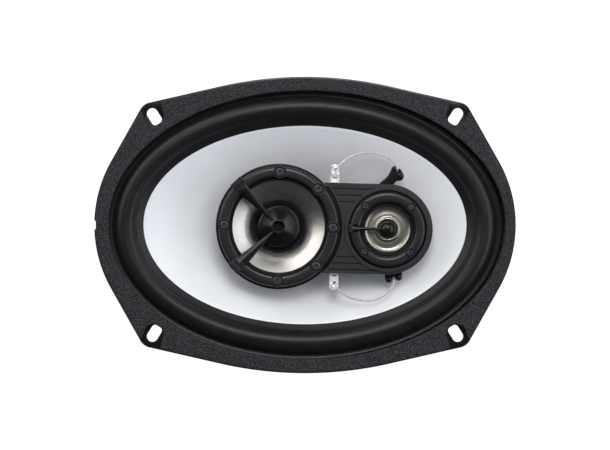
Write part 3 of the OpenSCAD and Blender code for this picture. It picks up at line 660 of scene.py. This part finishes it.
def outline(notch):
    """The flange's outline, with the small index notch of its left end."""
    q = (arc(SIDE_C, SIDE_R, 0, SIDE_TURN, 24) + arc(CORNER_C, CORNER_R, SIDE_TURN, LONG_TURN, 14)
         + arc(LONG_C, LONG_R, LONG_TURN, 90, 24))
    right = q + [(-x, y) for x, y in reversed(q[:-1])]
    loop = right + [(x, -y) for x, y in reversed(right[1:-1])]
    low = [p for p in loop if not (p[0] < 0 and abs(p[1]) < 3.2)]
    at = next(i for i in range(len(low)) if low[i][0] < 0 and low[i][1] < 0 <= low[i - 1][1])
    x = -117.45
    dent = [(x, 2.6), (x + notch, 2.2), (x + notch, 0), (x + notch, -2.2), (x, -2.6)]
    return low[:at] + dent + low[at:]


def ellipse(a, b, n=200):
    return [(a * math.cos(TAU * i / n), b * math.sin(TAU * i / n)) for i in range(n)]


SLOT_X, SLOT_Y, SLOT_TURN = 84.15, 60.6, 58
SLOTS = [(sx * SLOT_X, sy * SLOT_Y, sx, sy) for sx in (-1, 1) for sy in (-1, 1)]


def slot_loop(sx, sy, x, y):
    """Round at its outer end and squarer at its inner end, leaning towards its corner."""
    half, r, inner = 4.8, 3.05, 2
    pts = (arc((half - r, 0), r, -90, 90, 14) + arc((-half + inner, r - inner), inner, 90, 180, 6)
           + arc((-half + inner, inner - r), inner, 180, 270, 6))
    c, s = math.cos(math.radians(SLOT_TURN)), math.sin(math.radians(SLOT_TURN))
    return [(x + sx * (c * u - s * v), y + sy * (s * u + c * v)) for u, v in pts]


def inset_loop(loop, by):
    """The loop moved to its own left by a small distance."""
    n = len(loop)
    out = []
    for i, p in enumerate(loop):
        a, b = Vector(loop[i - 1]), Vector(loop[(i + 1) % n])
        here = Vector(p)
        d0, d1 = (here - a), (b - here)
        if d0.length < 1e-9 or d1.length < 1e-9:
            out.append(p)
            continue
        n0, n1 = Vector((-d0.y, d0.x)).normalized(), Vector((-d1.y, d1.x)).normalized()
        m = (n0 + n1).normalized()
        out.append(tuple(here + m * by / max(m.dot(n0), 0.5)))
    return out


def area(loop):
    return sum(loop[i - 1][0] * loop[i][1] - loop[i][0] * loop[i - 1][1] for i in range(len(loop))) / 2


def plate(loops, z0, z1, edge=0.3, steps=3):
    """A flat sheet with rounded edges; the first loop is its outside and the others are holes."""
    fixed = []
    for i, loop in enumerate(loops):
        if (area(loop) > 0) != (i == 0):
            loop = loop[::-1]
        fixed.append(loop)
    verts, faces = [], []
    bottom, top = [], []
    for loop in fixed:
        levels = []
        for k in range(steps + 1):
            a = math.pi / 2 * k / steps
            levels.append((edge * (1 - math.sin(a)), z0 + edge * (1 - math.cos(a))))
        levels += [(d, z0 + z1 - z) for d, z in reversed(levels)]
        base, n = len(verts), len(loop)
        for d, z in levels:
            verts += [(x, y, z) for x, y in (inset_loop(loop, d) if d else loop)]
        for j in range(len(levels) - 1):
            for k in range(n):
                m = (k + 1) % n
                faces.append((base + j * n + k, base + j * n + m, base + (j + 1) * n + m,
                              base + (j + 1) * n + k))
        bottom.append(list(range(base, base + n)))
        top.append(list(range(base + (len(levels) - 1) * n, base + len(levels) * n)))
    for group in (bottom, top):
        flat = [i for loop in group for i in loop]
        tris = tessellate_polygon([[Vector((verts[i][0], verts[i][1], 0)) for i in loop] for loop in group])
        faces += [tuple(flat[i] for i in tri) for tri in tris]
    return verts, faces


FOOT_R, FOOT_Z = 53, 37.3
GROW_A, GROW_B, GROW_Z = 53.4, 18.5, 37.3
HALF_SECTOR = 30


def shell_at(turn, s, out=0.0):
    """A point on the basket's bowl, at a turn in degrees and a share of its height, moved outwards."""
    def raw(turn, s):
        t = math.radians(turn)
        s = max(s, 0.0)
        return Vector(((FOOT_R + GROW_A * s) * math.cos(t), (FOOT_R + GROW_B * s ** 0.8) * math.sin(t),
                       FOOT_Z + GROW_Z * s ** 1.3))
    p = raw(turn, s)
    if not out:
        return p
    s1 = min(max(s, 0.02), 0.98)
    along = raw(turn, s1 + 0.01) - raw(turn, s1 - 0.01)
    round_ = raw(turn + 0.5, s1) - raw(turn - 0.5, s1)
    n = along.cross(round_).normalized()
    if n.dot(Vector((math.cos(math.radians(turn)), math.sin(math.radians(turn)), 0))) < 0:
        n = -n
    return p + n * out


def window_reach(ux, us):
    """Where a ray from a window's centre meets its rounded edge, as a share of the way to the sector's."""
    def inside(k):
        x, y = abs(ux * k * HALF_SECTOR) / 20, abs(us * k * 0.5) / 0.375
        return x ** 5 + y ** 5 < 1
    lo, hi = 0.0, 1.0
    for _ in range(24):
        mid = (lo + hi) / 2
        lo, hi = (mid, hi) if inside(mid) else (lo, mid)
    return lo


def basket_sector(centre):
    """One window with the two half legs beside it, of pressed sheet with turned-out window edges."""
    side = [i / 10 for i in range(-10, 10)]
    edge = ([(u, -1) for u in side] + [(1, u) for u in side]
            + [(-u, 1) for u in side] + [(-1, -u) for u in side])
    sections = []
    for ux, us in edge:
        k0 = window_reach(ux, us)
        def at(w, out):
            k = k0 + (1 - k0) * w
            turn, s = centre + ux * k * HALF_SECTOR, 0.5 + us * k * 0.5
            off_leg = HALF_SECTOR - abs(ux * k * HALF_SECTOR)
            fade = min(max((s - 0.06) / 0.12, 0), 1) * min(max((0.96 - s) / 0.1, 0), 1)
            press = 1.5 * math.exp(-(off_leg / 3.6) ** 2) * fade
            return shell_at(turn, s, out + press)
        full = (at(1, 0) - at(0, 0)).length
        near = min(1.1 / full, 0.3)
        row = [at(1 - i / 9, 0) for i in range(9)] + [at(near * 0.3, 0.1), at(0, 0.5)]
        row += [at(0, 2.3), at(near * 0.3, 2.75), at(near * 0.8, 2.75), at(near, 2.3), at(near * 1.15, 1.4),
                at(near * 1.8, SHEET)]
        row += [at(near * 1.8 + (1 - near * 1.8) * (i + 1) / 8, SHEET) for i in range(8)]
        sections.append([tuple(p) for p in row])
    verts, faces = rings(sections, closed_tube=False)
    n, m = len(sections[0]), len(sections)
    for i in range(m):
        j = (i + 1) % m
        if edge[i][1] in (-1, 1) and edge[j][1] == edge[i][1]:
            faces.append((i * n, i * n + n - 1, j * n + n - 1, j * n))
    return verts, faces


parts = [plate([outline(0.8), ellipse(112.5, 77.3)] + [slot_loop(sx, sy, x, y) for x, y, sx, sy in SLOTS],
               FLANGE_Z - SHEET, FLANGE_Z, 0.3)]
step = fillet([(3, 79.15), (0, 79.2, 0.9), (0, 75.2, 1.0), (-5.8, 75.2, 0.4), (-5.8, 74, 0.4), (1.2, 74, 1.8),
               (1.2, 78, 0.6), (3, 78.05)], 0.05, 5)
parts.append(oval_band([(WALL_A + d, WALL_B + d * (0.948 if d < 0 else 1), z) for d, z in step], 288))
parts += [basket_sector(2 * HALF_SECTOR * i) for i in range(6)]
cup = fillet([(24, 28), (46, 28, 2.2), (46, 36.3, 0.8), (54.5, 36.3), (54.5, 37.5), (44.8, 37.5, 2),
              (44.8, 29.2, 1.2), (24, 29.2)], 0.35, 5)
parts.append(lathe(cup, segments=192))
tab = fillet([(-13, -50), (-13, -73, 3), (13, -73, 3), (13, -50)], 0, 6)
parts.append(plate([tab, arc((-8, -67), 1.5, 0, 345, 23), arc((8, -67), 1.5, 0, 345, 23)], 36.3, 37.5, 0.25))
finish_mesh("basket_pressing", *join(*parts), "black_steel", FRAME, ["basket"], angle=38, weld=True)


# ---- Foam gasket: remeshed evenly, then pebbled ----

def applied(obj, unit=1):
    """The points and faces of a working object with its modifiers applied; the object itself goes."""
    bpy.context.view_layer.update()
    made = bpy.data.meshes.new_from_object(obj.evaluated_get(bpy.context.evaluated_depsgraph_get()))
    bpy.data.objects.remove(obj)
    return [tuple(v.co / unit) for v in made.vertices], [tuple(p.vertices) for p in made.polygons]


def remeshed(name, node, voxel):
    """A CAD node's surface in even small faces."""
    source = frame["nodes"][node]
    mesh = source.data.copy()
    mesh.name = name
    obj = bpy.data.objects.new(name, mesh)
    scene.collection.objects.link(obj)
    mod = obj.modifiers.new("remesh", "REMESH")
    mod.mode = "VOXEL"
    mod.voxel_size = voxel * MM
    return applied(obj, MM)


def relaxed(verts, faces, rounds, pull=0.5):
    """Laplacian smoothing, so that voxel steps go."""
    near = [set() for _ in verts]
    for f in faces:
        for i, v in enumerate(f):
            near[v].add(f[i - 1])
            near[f[i - 1]].add(v)
    pts = [Vector(v) for v in verts]
    for _ in range(rounds):
        pts = [p + pull * (sum((pts[j] for j in near[i]), Vector()) / len(near[i]) - p) if near[i] else p
               for i, p in enumerate(pts)]
    return pts


GASKET_TOP = 82.2
verts, faces = remeshed("gasket_foam_ring", "gasket", 0.5)
pebbled = []
for p in relaxed(verts, faces, 3):
    if p.x < -115.5 and abs(p.y) < 2.4:
        p.x += 0.55
    if p.z > GASKET_TOP - 1:
        p.z -= 0.10 + 0.09 * noise.noise(p / 1.1) + 0.05 * noise.noise(p / 0.6)
    pebbled.append(tuple(p))
finish_mesh("gasket_foam_ring", pebbled, faces, "gasket_foam", FRAME, ["gasket"], angle=60)


# ---- Shapes cut out of shapes ----

def carved(part, cutters):
    """A part with other closed parts taken out of it."""
    whole, tool = new_object("whole", *part), new_object("tool", *join(*cutters))
    mod = whole.modifiers.new("cut", "BOOLEAN")
    mod.operation = "DIFFERENCE"
    mod.solver = "EXACT"
    mod.use_self = True
    mod.object = tool
    left = applied(whole)
    bpy.data.objects.remove(tool)
    return left


def disc(profile, centre=(0, 0), segments=64):
    """A solid of revolution; its profile starts and ends on the axis."""
    first, last = profile[0], profile[-1]
    verts = [(centre[0], centre[1], first[1])]
    inner = profile[1:-1]
    for i in range(segments):
        t = TAU * i / segments
        verts += [(centre[0] + r * math.cos(t), centre[1] + r * math.sin(t), z) for r, z in inner]
    verts.append((centre[0], centre[1], last[1]))
    n, end = len(inner), len(verts) - 1
    faces = []
    for i in range(segments):
        a, b = 1 + i * n, 1 + (i + 1) % segments * n
        faces.append((0, b, a))
        faces += [(a + k, b + k, b + k + 1, a + k + 1) for k in range(n - 1)]
        faces.append((a + n - 1, b + n - 1, end))
    return verts, faces


def block(x0, x1, y0, y1, z0, z1, edge=0.3):
    """A box with rounded edges."""
    corners = [(x0, y0), (x1, y0), (x1, y1), (x0, y1)]
    return plate([fillet(corners, edge, 3) if edge else corners], z0, z1, edge)


BRIDGE_TURN, BRIDGE_DY = -1.5, -1.2


def on_unit(part, centre):
    """A part of a small driver, turned with the bridge and put on the driver's axis."""
    return turned(part, BRIDGE_TURN, (*centre, 0))


def around(part, r, turns):
    """Copies of an upright round part on a circle."""
    return [turned(part, 0, (r * math.cos(math.radians(t)), r * math.sin(math.radians(t)), 0)) for t in turns]


def bridge_xy(x, y):
    c, s = math.cos(math.radians(BRIDGE_TURN)), math.sin(math.radians(BRIDGE_TURN))
    return (c * x - s * y, s * x + c * y + BRIDGE_DY)


def bezel_ring(name, node, centre, profile, segments, sides, screws, moat, boss, seat, notches):
    """A bead with a moat round each of its screws, a boss and a floor in each moat, and notches."""
    cut = carved(lathe(profile, segments=segments), around(disc(moat, segments=sides), *screws) + notches)
    bosses = around(lathe(fillet(boss, 0.05, 4), segments=sides), *screws)
    floors = around(disc(seat, segments=sides), *screws)
    finish_mesh(name, *on_unit(join(cut, *bosses, *floors), centre), "bezel_plastic", FRAME, [node], angle=32)


def roll(centre_r, base_z, half, height, start, end, steps, power=1.0):
    """The outline of a bead: half round, or flatter on top at a power under 1."""
    points = []
    for i in range(steps + 1):
        a = math.radians(start + (end - start) * i / steps)
        x = math.copysign(abs(math.cos(a)) ** power, math.cos(a))
        points.append((centre_r + half * x, base_z + height * math.sin(a) ** power))
    return points


# ---- Midrange unit ----

ARM_TURNS = [135, 225]
MID_RING = 30.2
edge = fillet([(33.5, 80.0), (33.5, 78.3), (34.9, 78.3, 0.3), (34.9, 80.7, 0.12), (34.6, 80.72, 0.02),
               (33.7, 80.74, 0.02), (33.5, 80.75)], 0.15, 4, closed=False)
bead_profile = roll(MID_RING, 82.0, 3.25, 2.7, 3, 177, 40, 0.67)
mouth = fillet([(26.8, 82.0), (25.6, 81.95, 0.12), (25.6, 81.7, 0.1), (30.1, 81.7), (30.1, 80.0)], 0.1, 4,
               closed=False)
bezel_ring("mid_bezel_ring", "mid_bezel", MID_C, edge + bead_profile + mouth, 256, 48,
           screws=(MID_RING, [0, 45, 90, 180, 270, 315]),
           moat=[(0, 83.1), (2.85, 83.1), (2.95, 83.2), (2.95, 88), (0, 88)],
           boss=[(2.95, 81.8), (3.65, 81.8), (3.65, 84.75, 0.35), (2.95, 84.75, 0.25)],
           seat=[(0, 81.9), (3.3, 81.9), (3.3, 83.18), (0, 83.18)],
           notches=[turned(block(28.9, 36, -3.75, 3.75, 82.0, 90, 0), t) for t in ARM_TURNS])

dome = [(10.7 - 7.2 * i / 32, 83.3 - 5.5 * (1 - i / 32) ** 1.12) for i in range(33)]
plug_profile = ([(0, 74), (11.15, 74), (11.4, 74.2), (11.4, 77.35), (11.33, 77.52), (11.1, 77.67)] + dome
                + [(3.3, 83.3), (3.1, 83.15), (2.95, 82.85), (2.8, 79.9), (2.6, 79.6), (0, 79.6)])
plug = [disc(plug_profile, segments=128)]
for t in ARM_TURNS:
    n = 26
    reach = [29.6 - (29.6 - 3.9) * i / n for i in range(n + 1)]
    sections = []
    for i, r in enumerate(reach):
        w = 3.55 - 3.05 * (i / n) ** 0.95
        h, z = 0.48 * w + 0.2, 84.0 - 1.7 * i / n
        sections.append([(r, w * math.cos(TAU * k / 28), z + h * math.sin(TAU * k / 28)) for k in range(28)])
    plug.append(turned(rings(sections, closed_ring=False, caps=True), t))
    plug.append(turned(block(31.3, 34.85, -3.7, 3.7, 82.05, 85.95, 0.35), t))
    plug.append(turned(block(29.0, 31.6, -3.7, 3.7, 82.05, 84.9, 0.3), t))
finish_mesh("mid_plug_and_arms", *on_unit(join(*plug), MID_C), "bezel_plastic",
            FRAME, ["mid_phase_plug"], angle=38)

BOWL_R, BOWL_Z, BOWL_SPAN = 26.3, 79.55, 11.3


def flared(r):
    """Height of the bowl: shallow at its rim and steeper towards its neck."""
    x = (BOWL_R - r) / BOWL_SPAN
    return BOWL_Z - BOWL_SPAN * (0.49 * x + 0.025 * x * x + 0.09 * x ** 3)


bowl_top = [(10.0, 70.42), (11.9, 70.42), (12.4, 70.75), (14.8, flared(15.0) - 0.5),
            (14.92, flared(15.0) - 0.12)]
for i in range(75):
    r = 15.1 + i * 0.15
    ridges = 0.03 * math.exp(-((r - 16.3) / 0.22) ** 2) + 0.05 * math.exp(-((r - 19.0) / 0.22) ** 2)
    bowl_top.append((r, flared(r) + ridges))
bowl_top.append((BOWL_R, BOWL_Z))
bowl = bowl_top + [(r, z - 0.35) for r, z in reversed(bowl_top)]
finish_mesh("mid_bowl", *lathe(bowl, MID_C, 256), "metal_film", MID, ["mid_diaphragm"], angle=60)
cuff = [(12.0, 70.45), (12.2, 70.9), (12.6, 71.3), (15.1, 72.6), (15.35, 72.6), (15.3, 72.3), (15.0, 72.0),
        (12.5, 70.8)]
finish_mesh("mid_inner_cuff", *lathe(cuff, MID_C, 128), "soft_edge", MID, angle=50)

outer = [(26.3, 79.62), (26.5, 79.9)] + roll(27.65, 79.9, 1.15, 1.1, 170, 10, 14)
outer += [(28.85, 80.4), (29.0, 80.3), (29.0, 80.02)]
inner = [(28.6, 80.02)] + roll(27.65, 79.85, 0.8, 0.8, 12, 168, 10)
inner += [(26.85, 80.05), (26.75, 79.3), (26.3, 79.25)]
profile = outer + inner
blended("mid_edge_roll", lathe(profile, MID_C, 160), "soft_edge", ["mid_surround"])


# ---- Small tweeter ----

edge = fillet([(20.1, 80.0), (20.1, 78.3), (21.5, 78.3, 0.3), (21.5, 80.9, 0.1), (21.3, 80.92, 0.02),
               (21.05, 80.95)], 0.15, 4, closed=False)
bead_profile = roll(18.05, 81.6, 2.95, 2.45, 3, 177, 36, 0.72)
mouth = fillet([(14.75, 81.9), (14.2, 81.4, 0.3), (13.9, 81.0, 0.1), (13.9, 80.9, 0.05), (15.2, 80.9),
                (15.2, 80.0)], 0.1, 4, closed=False)
bezel_ring("tweeter_bezel_ring", "tweeter_bezel", TWEETER_C, edge + bead_profile + mouth, 192, 40,
           screws=(17.9, [45, 135, 225, 315]),
           moat=[(0, 82.5), (2.15, 82.5), (2.25, 82.6), (2.25, 87), (0, 87)],
           boss=[(2.25, 81.2), (2.85, 81.2), (2.85, 83.85, 0.3), (2.25, 83.85, 0.2)],
           seat=[(0, 81.3), (2.5, 81.3), (2.5, 82.58), (0, 82.58)],
           notches=[turned(block(19.2, 24, -2.5, 2.5, 81.5, 88, 0), 180),
                    turned(block(16.3, 19.4, -2.15, 2.15, 82.2, 88, 0), 180),
                    turned(block(12, 16.5, -1.6, 1.6, 81.9, 88, 0), 180)])

nose = [(4.55 * (1 - (i / 20) ** 1.9) ** 0.5, 81.4 + 4.2 * i / 20) for i in range(21)]
bullet = [disc([(0, 81.0), (4.3, 81.0), (4.5, 81.15)] + nose[:-1] + [(0, 85.6)], segments=96)]
n = 16
arm = [(-(19.8 - (19.8 - 3.0) * i / n), 0, 83.45) for i in range(n + 1)]
bullet.append(tube(arm, [1.2 - 0.55 * i / n for i in range(n + 1)], 20))
bullet.append(turned(block(19.5, 21.45, -2.35, 2.35, 81.6, 84.8, 0.3), 180))
bullet.append(turned(block(18.2, 19.7, -1.2, 1.2, 82.0, 84.2, 0.25), 180))
finish_mesh("tweeter_bullet_and_arm", *on_unit(join(*bullet), TWEETER_C), "bezel_plastic", FRAME,
            ["tweeter_bullet"], angle=38)

dish = [(0.01, 79.5), (3, 79.4), (4.5, 79.35), (5.0, 79.5), (5.4, 79.8), (5.8, 79.95), (6.15, 79.93),
        (6.5, 79.76), (6.9, 79.46), (7.3, 79.31), (7.9, 79.28), (8.6, 79.27), (9.1, 79.22), (9.6, 79.18),
        (10.3, 79.17), (10.8, 79.2), (11.2, 79.3), (11.6, 79.45), (12.0, 79.64), (12.35, 79.84), (12.6, 80.0)]
dish = smooth_path([(r, 0, z) for r, z in dish], 0.12)
dish = [(r, z) for r, y, z in dish]
dish = dish + [(r, z - 0.3) for r, z in reversed(dish)]
finish_mesh("tweeter_dish", *lathe(dish, TWEETER_C, 160), "tweeter_film", TWEETER,
            ["tweeter_diaphragm"], slot="metal_film", angle=60)
profile = [(12.57, 80.0), (12.6, 80.3)] + roll(13.4, 80.25, 0.85, 0.5, 165, 15, 10)
profile += [(14.5, 80.35), (15.0, 80.3), (15.0, 80.02)]
profile += [(14.3, 80.02)] + roll(13.4, 80.05, 0.7, 0.4, 15, 165, 8)
blended("tweeter_edge_roll", lathe(profile, TWEETER_C, 120), "soft_edge",
        ["tweeter_surround"])


# ---- Solder tabs, clips, capacitors ----

def blob(centre, size, seed, cols=28, rows=14, rough=0.16, floor=None):
    """An uneven drop."""
    sections = []
    for i in range(cols):
        t = TAU * i / cols
        row = []
        for j in range(1, rows):
            a = math.pi * j / rows
            d = Vector((math.sin(a) * math.cos(t), math.sin(a) * math.sin(t), math.cos(a)))
            k = 1 + rough * noise.noise(d * 1.7 + Vector((seed * 7.3, seed, -seed)))
            p = Vector((d.x * size[0], d.y * size[1], d.z * size[2])) * k + Vector(centre)
            if floor is not None:
                p.z = max(p.z, floor)
            row.append(tuple(p))
        sections.append(row)
    verts, faces = rings(sections, closed_tube=False)
    n = rows - 1
    for pick, pole in ((0, 1), (n - 1, -1)):
        z = centre[2] + pole * size[2]
        verts.append((centre[0], centre[1], max(z, floor) if floor is not None else z))
        for i in range(cols):
            faces.append((i * n + pick, (i + 1) % cols * n + pick, len(verts) - 1))
    return verts, faces


def solder_tab(name, node, body, hole, slot, beads, seed):
    """A stamped lug with an eyelet for the braid, an oblong hole and beads of frozen solder."""
    at = bridge_xy(*hole)
    eye = [(at[0] + 0.8 * math.cos(TAU * i / 24), at[1] + 0.8 * math.sin(TAU * i / 24)) for i in range(24)]
    x, y = slot
    oblong = [bridge_xy(*p) for p in arc((x + 0.8, y), 0.6, -90, 90, 8) + arc((x - 0.8, y), 0.6, 90, 270, 8)]
    lug = [bridge_xy(*p) for p in fillet(body, 0.01, 6)]
    parts = [plate([lug, eye, oblong], 78.0, 78.7, 0.2)]
    rim = fillet([(0.8, 78.5), (1.7, 78.5), (1.55, 79.15, 0.3), (1.0, 79.2, 0.2)], 0.05, 4)
    parts.append(lathe(rim, at, 32))
    for i, (bx, by, size) in enumerate(beads):
        bx, by = bridge_xy(bx, by)
        parts.append(blob((bx, by, 78.6), size, seed + 3 * i, rough=0.2, floor=78.05))
    finish_mesh(name, *join(*parts), "tinned", FRAME, [node], angle=45)


solder_tab("solder_tab_top", "solder_tab_upper",
           [(13.2, 22.0), (13.2, 27.6, 1.2), (13.9, 31.0, 1.0), (13.7, 35.3, 1.3),
            (17.4, 35.3, 1.3), (18.2, 31.0, 1.0), (18.6, 27.6, 1.2), (18.6, 22.0)],
           (16.1, 32.4), (16.0, 27.9),
           [(14.8, 34.2, (1.1, 1.1, 0.9)), (14.7, 30.2, (1.0, 1.7, 0.8)), (17.7, 29.9, (0.9, 1.3, 0.8)),
            (15.9, 25.6, (2.1, 1.0, 0.7))], seed=1)
solder_tab("solder_tab_bottom", "solder_tab_lower",
           [(14.2, -22.0), (14.2, -34.0, 1.6), (17.0, -34.9, 1.5), (19.4, -33.0, 1.6), (19.4, -22.0)],
           (17.2, -30.4), (16.9, -26.6),
           [(18.5, -28.2, (0.8, 0.9, 0.9)), (17.3, -33.1, (1.7, 1.4, 1.0)), (15.2, -31.6, (0.8, 1.8, 0.6))],
           seed=2)


def knob(x, y, r, z0, z1, steps=10):
    """A round-topped stud on a clip."""
    profile = [(0, z0), (r * 0.9, z0), (r, z0 + 0.3)]
    profile += [(r * math.cos(math.pi / 2 * i / steps) ** 0.8,
                 z0 + 0.3 + (z1 - z0 - 0.3) * math.sin(math.pi / 2 * i / steps)) for i in range(1, steps)]
    return disc(profile + [(0, z1)], (x, y), 40)


fork = fillet([(40.4, 22.4), (45.8, 26.9), (47.4, 29.5), (48.8, 32.7), (50.3, 33.2),
               (51.0, 31.6), (51.4, 29.9, 0.5), (52.1, 31.7), (53.6, 31.1), (55.3, 28.0),
               (55.3, 26.4), (54.0, 24.8), (51.2, 24.6), (49.2, 22.4)], 1.0, 5)
finish_mesh("lead_clip_top", *join(plate([fork], 74.5, 77.3, 0.8, 5), knob(49.7, 31.6, 1.3, 75.5, 78.0),
                                   knob(53.2, 27.7, 2.1, 75.5, 78.5)),
            "clip_plastic", FRAME, ["lead_clip_upper"], slot="bridge_plastic", angle=45)
bar = fillet([(44.6, -24.4), (44.6, -30.4), (46.4, -32.4), (48.4, -31.6), (49.4, -29.0),
              (50.2, -29.2), (52.2, -31.0), (54.2, -29.4), (54.4, -26.4), (53.0, -24.4)], 1.0, 5)
finish_mesh("lead_clip_bottom", *join(plate([bar], 74.5, 77.2, 0.8, 5), knob(46.8, -30.4, 2.2, 75.0, 78.0),
                                      knob(52.3, -29.2, 2.15, 75.0, 78.6)),
            "clip_plastic", FRAME, ["lead_clip_lower"], slot="bridge_plastic", angle=45)


def capacitor(name, node, slot, turn, r, length):
    """A wrapped body with crimped ends and two bent wires, held by hot-melt."""
    half = length / 2
    profile = [(0, 0.5), (r * 0.5, 0.5), (r * 0.78, 0.1), (r * 0.92, 0), (r, 0.7)]
    profile += [(r, 1.6), (r * 0.965, 1.9), (r * 0.965, 2.3), (r, 2.6)]
    profile = [(p, -half + z) for p, z in profile]
    profile += [(p, -z) for p, z in reversed(profile)]
    verts, faces = disc(profile, segments=64)
    distance, z = 46 + r + 0.2, 36 - r
    laid = [(distance + x, w, y + z) for x, y, w in verts]
    finish_mesh(name, *turned((laid, faces), turn), slot, FRAME, [node], angle=40)
    wires = []
    for s in (-1, 1):
        bends = [(-0.6, z), (1.2, z), (2.4, z + 0.5), (2.8, z + 1.8), (2.8, 36.6)]
        path = smooth_path([(distance, s * (half + out), height) for out, height in bends], 0.4)
        wires.append(turned(tube(path, 0.4, 12), turn))
    finish_mesh(name + "_wires", *join(*wires), "tinned", FRAME, angle=50)
    dabs = [turned(blob((distance - 1.2 + 1.5 * k, (k - 0.5) * length * 0.55, 35.3), (r * 0.9, 3.2, 1.9),
                        turn + k, rough=0.35), turn) for k in (0, 1)]
    finish_mesh(name + "_glue", *join(*dabs), "hot_melt", FRAME, slot=slot, angle=60)


capacitor("mid_capacitor_body", "capacitor_mid", "capacitor_blue", 225, 4, 20)
capacitor("tweeter_capacitor_body", "capacitor_tweeter", "capacitor_red", 315, 3.2, 14)


# ---- CAD nodes that stay: real materials, softened edges ----

WIDE_EDGES = ("bridge_base", "magnet", "pole_yoke", "top_plate", "mid_screws", "tweeter_screws")
WIDE_BEVEL, FINE_BEVEL = 0.3, 0.12
SLOT_OF = {part["node"]: part["material_slot"] for part in frame["record"]["subparts"]}
LOOK_OF = {**SLOT_OF, "terminal_positive": "blade_tin", "terminal_negative": "blade_tin"}
NO_BEVEL = {"mid_dust_cap"}
for name, obj in frame["nodes"].items():
    if obj.hide_render:
        continue
    obj.data.materials.clear()
    obj.data.materials.append(MATERIALS[LOOK_OF[name]])
    if name in NO_BEVEL:
        continue
    weld = obj.modifiers.new("weld", "WELD")
    weld.merge_threshold = 0.002 * MM
    bevel = obj.modifiers.new("edges", "BEVEL")
    bevel.limit_method = "ANGLE"
    bevel.angle_limit = math.radians(38)
    bevel.width = (WIDE_BEVEL if name in WIDE_EDGES else FINE_BEVEL) * MM
    bevel.segments = 3 if name in WIDE_EDGES else 2
    obj.data.shade_smooth()
    flat = obj.modifiers.new("flat_faces", "WEIGHTED_NORMAL")
    flat.weight = 100


# ---- Floor, light ----

s = Shade("paper", Base_Color=(0.15, 0.15, 0.15), Emission_Color=(1, 1, 1), Emission_Strength=0.97)
s.patchy_rough(300, 2, 0.85, 0.95)
s.bump(s.noise(60, 2), 0.05, 0.2)
bpy.ops.mesh.primitive_grid_add(x_subdivisions=8, y_subdivisions=8, size=6)
floor = bpy.context.object
floor.name = "floor"
floor.data.materials.append(s.material)


def softbox(name, turn, elevation, distance, width, height, power, colour, reflected=True):
    light = bpy.data.lights.new(name, "AREA")
    light.shape = "RECTANGLE"
    light.size, light.size_y = width, height
    light.energy = power
    light.color = colour
    obj = bpy.data.objects.new(name, light)
    scene.collection.objects.link(obj)
    a, e = math.radians(turn), math.radians(elevation)
    way = Vector((math.cos(a) * math.cos(e), math.sin(a) * math.cos(e), math.sin(e)))
    obj.location = way * distance + Vector((0, 0, 0.08))
    obj.rotation_euler = (-way).to_track_quat("-Z", "Y").to_euler()
    obj.visible_glossy = reflected


softbox("softbox_right", 12, 29, 1.1, 1.7, 0.58, 5.0, (0.96, 0.97, 1.0))
softbox("softbox_left", 140, 30, 1.1, 1.35, 0.58, 4.6, (1.0, 0.985, 0.95))
softbox("key", 86, 60, 1.2, 0.45, 0.45, 4.0, (1.0, 1.0, 0.99))
softbox("key_spill", 88, 66, 1.2, 0.4, 0.4, 3.4, (1.0, 0.99, 0.965), False)
softbox("side_spill", 28, 60, 1.2, 0.5, 0.5, 4.2, (1.0, 0.99, 0.965), False)

# The surroundings: white behind the object, bright fill, and a dimmer room in the reflections
world = bpy.data.worlds.new("world")
scene.world = world
world.use_nodes = True
sky, links = world.node_tree.nodes, world.node_tree.links
path = sky.new("ShaderNodeLightPath")


def surroundings(colour, strength):
    made = sky.new("ShaderNodeBackground")
    made.inputs["Color"].default_value = (*colour, 1)
    made.inputs["Strength"].default_value = strength
    return made.outputs[0]


def either(share, a, b):
    made = sky.new("ShaderNodeMixShader")
    for socket, value in zip(made.inputs, (share, a, b)):
        links.new(value, socket)
    return made.outputs[0]


room = either(path.outputs["Is Glossy Ray"], surroundings((0.80, 0.86, 1.0), 0.45),
              surroundings((0.9, 0.92, 1.0), 0.045))
links.new(either(path.outputs["Is Camera Ray"], room, surroundings((1, 1, 1), 1.0)),
          sky["World Output"].inputs[0])
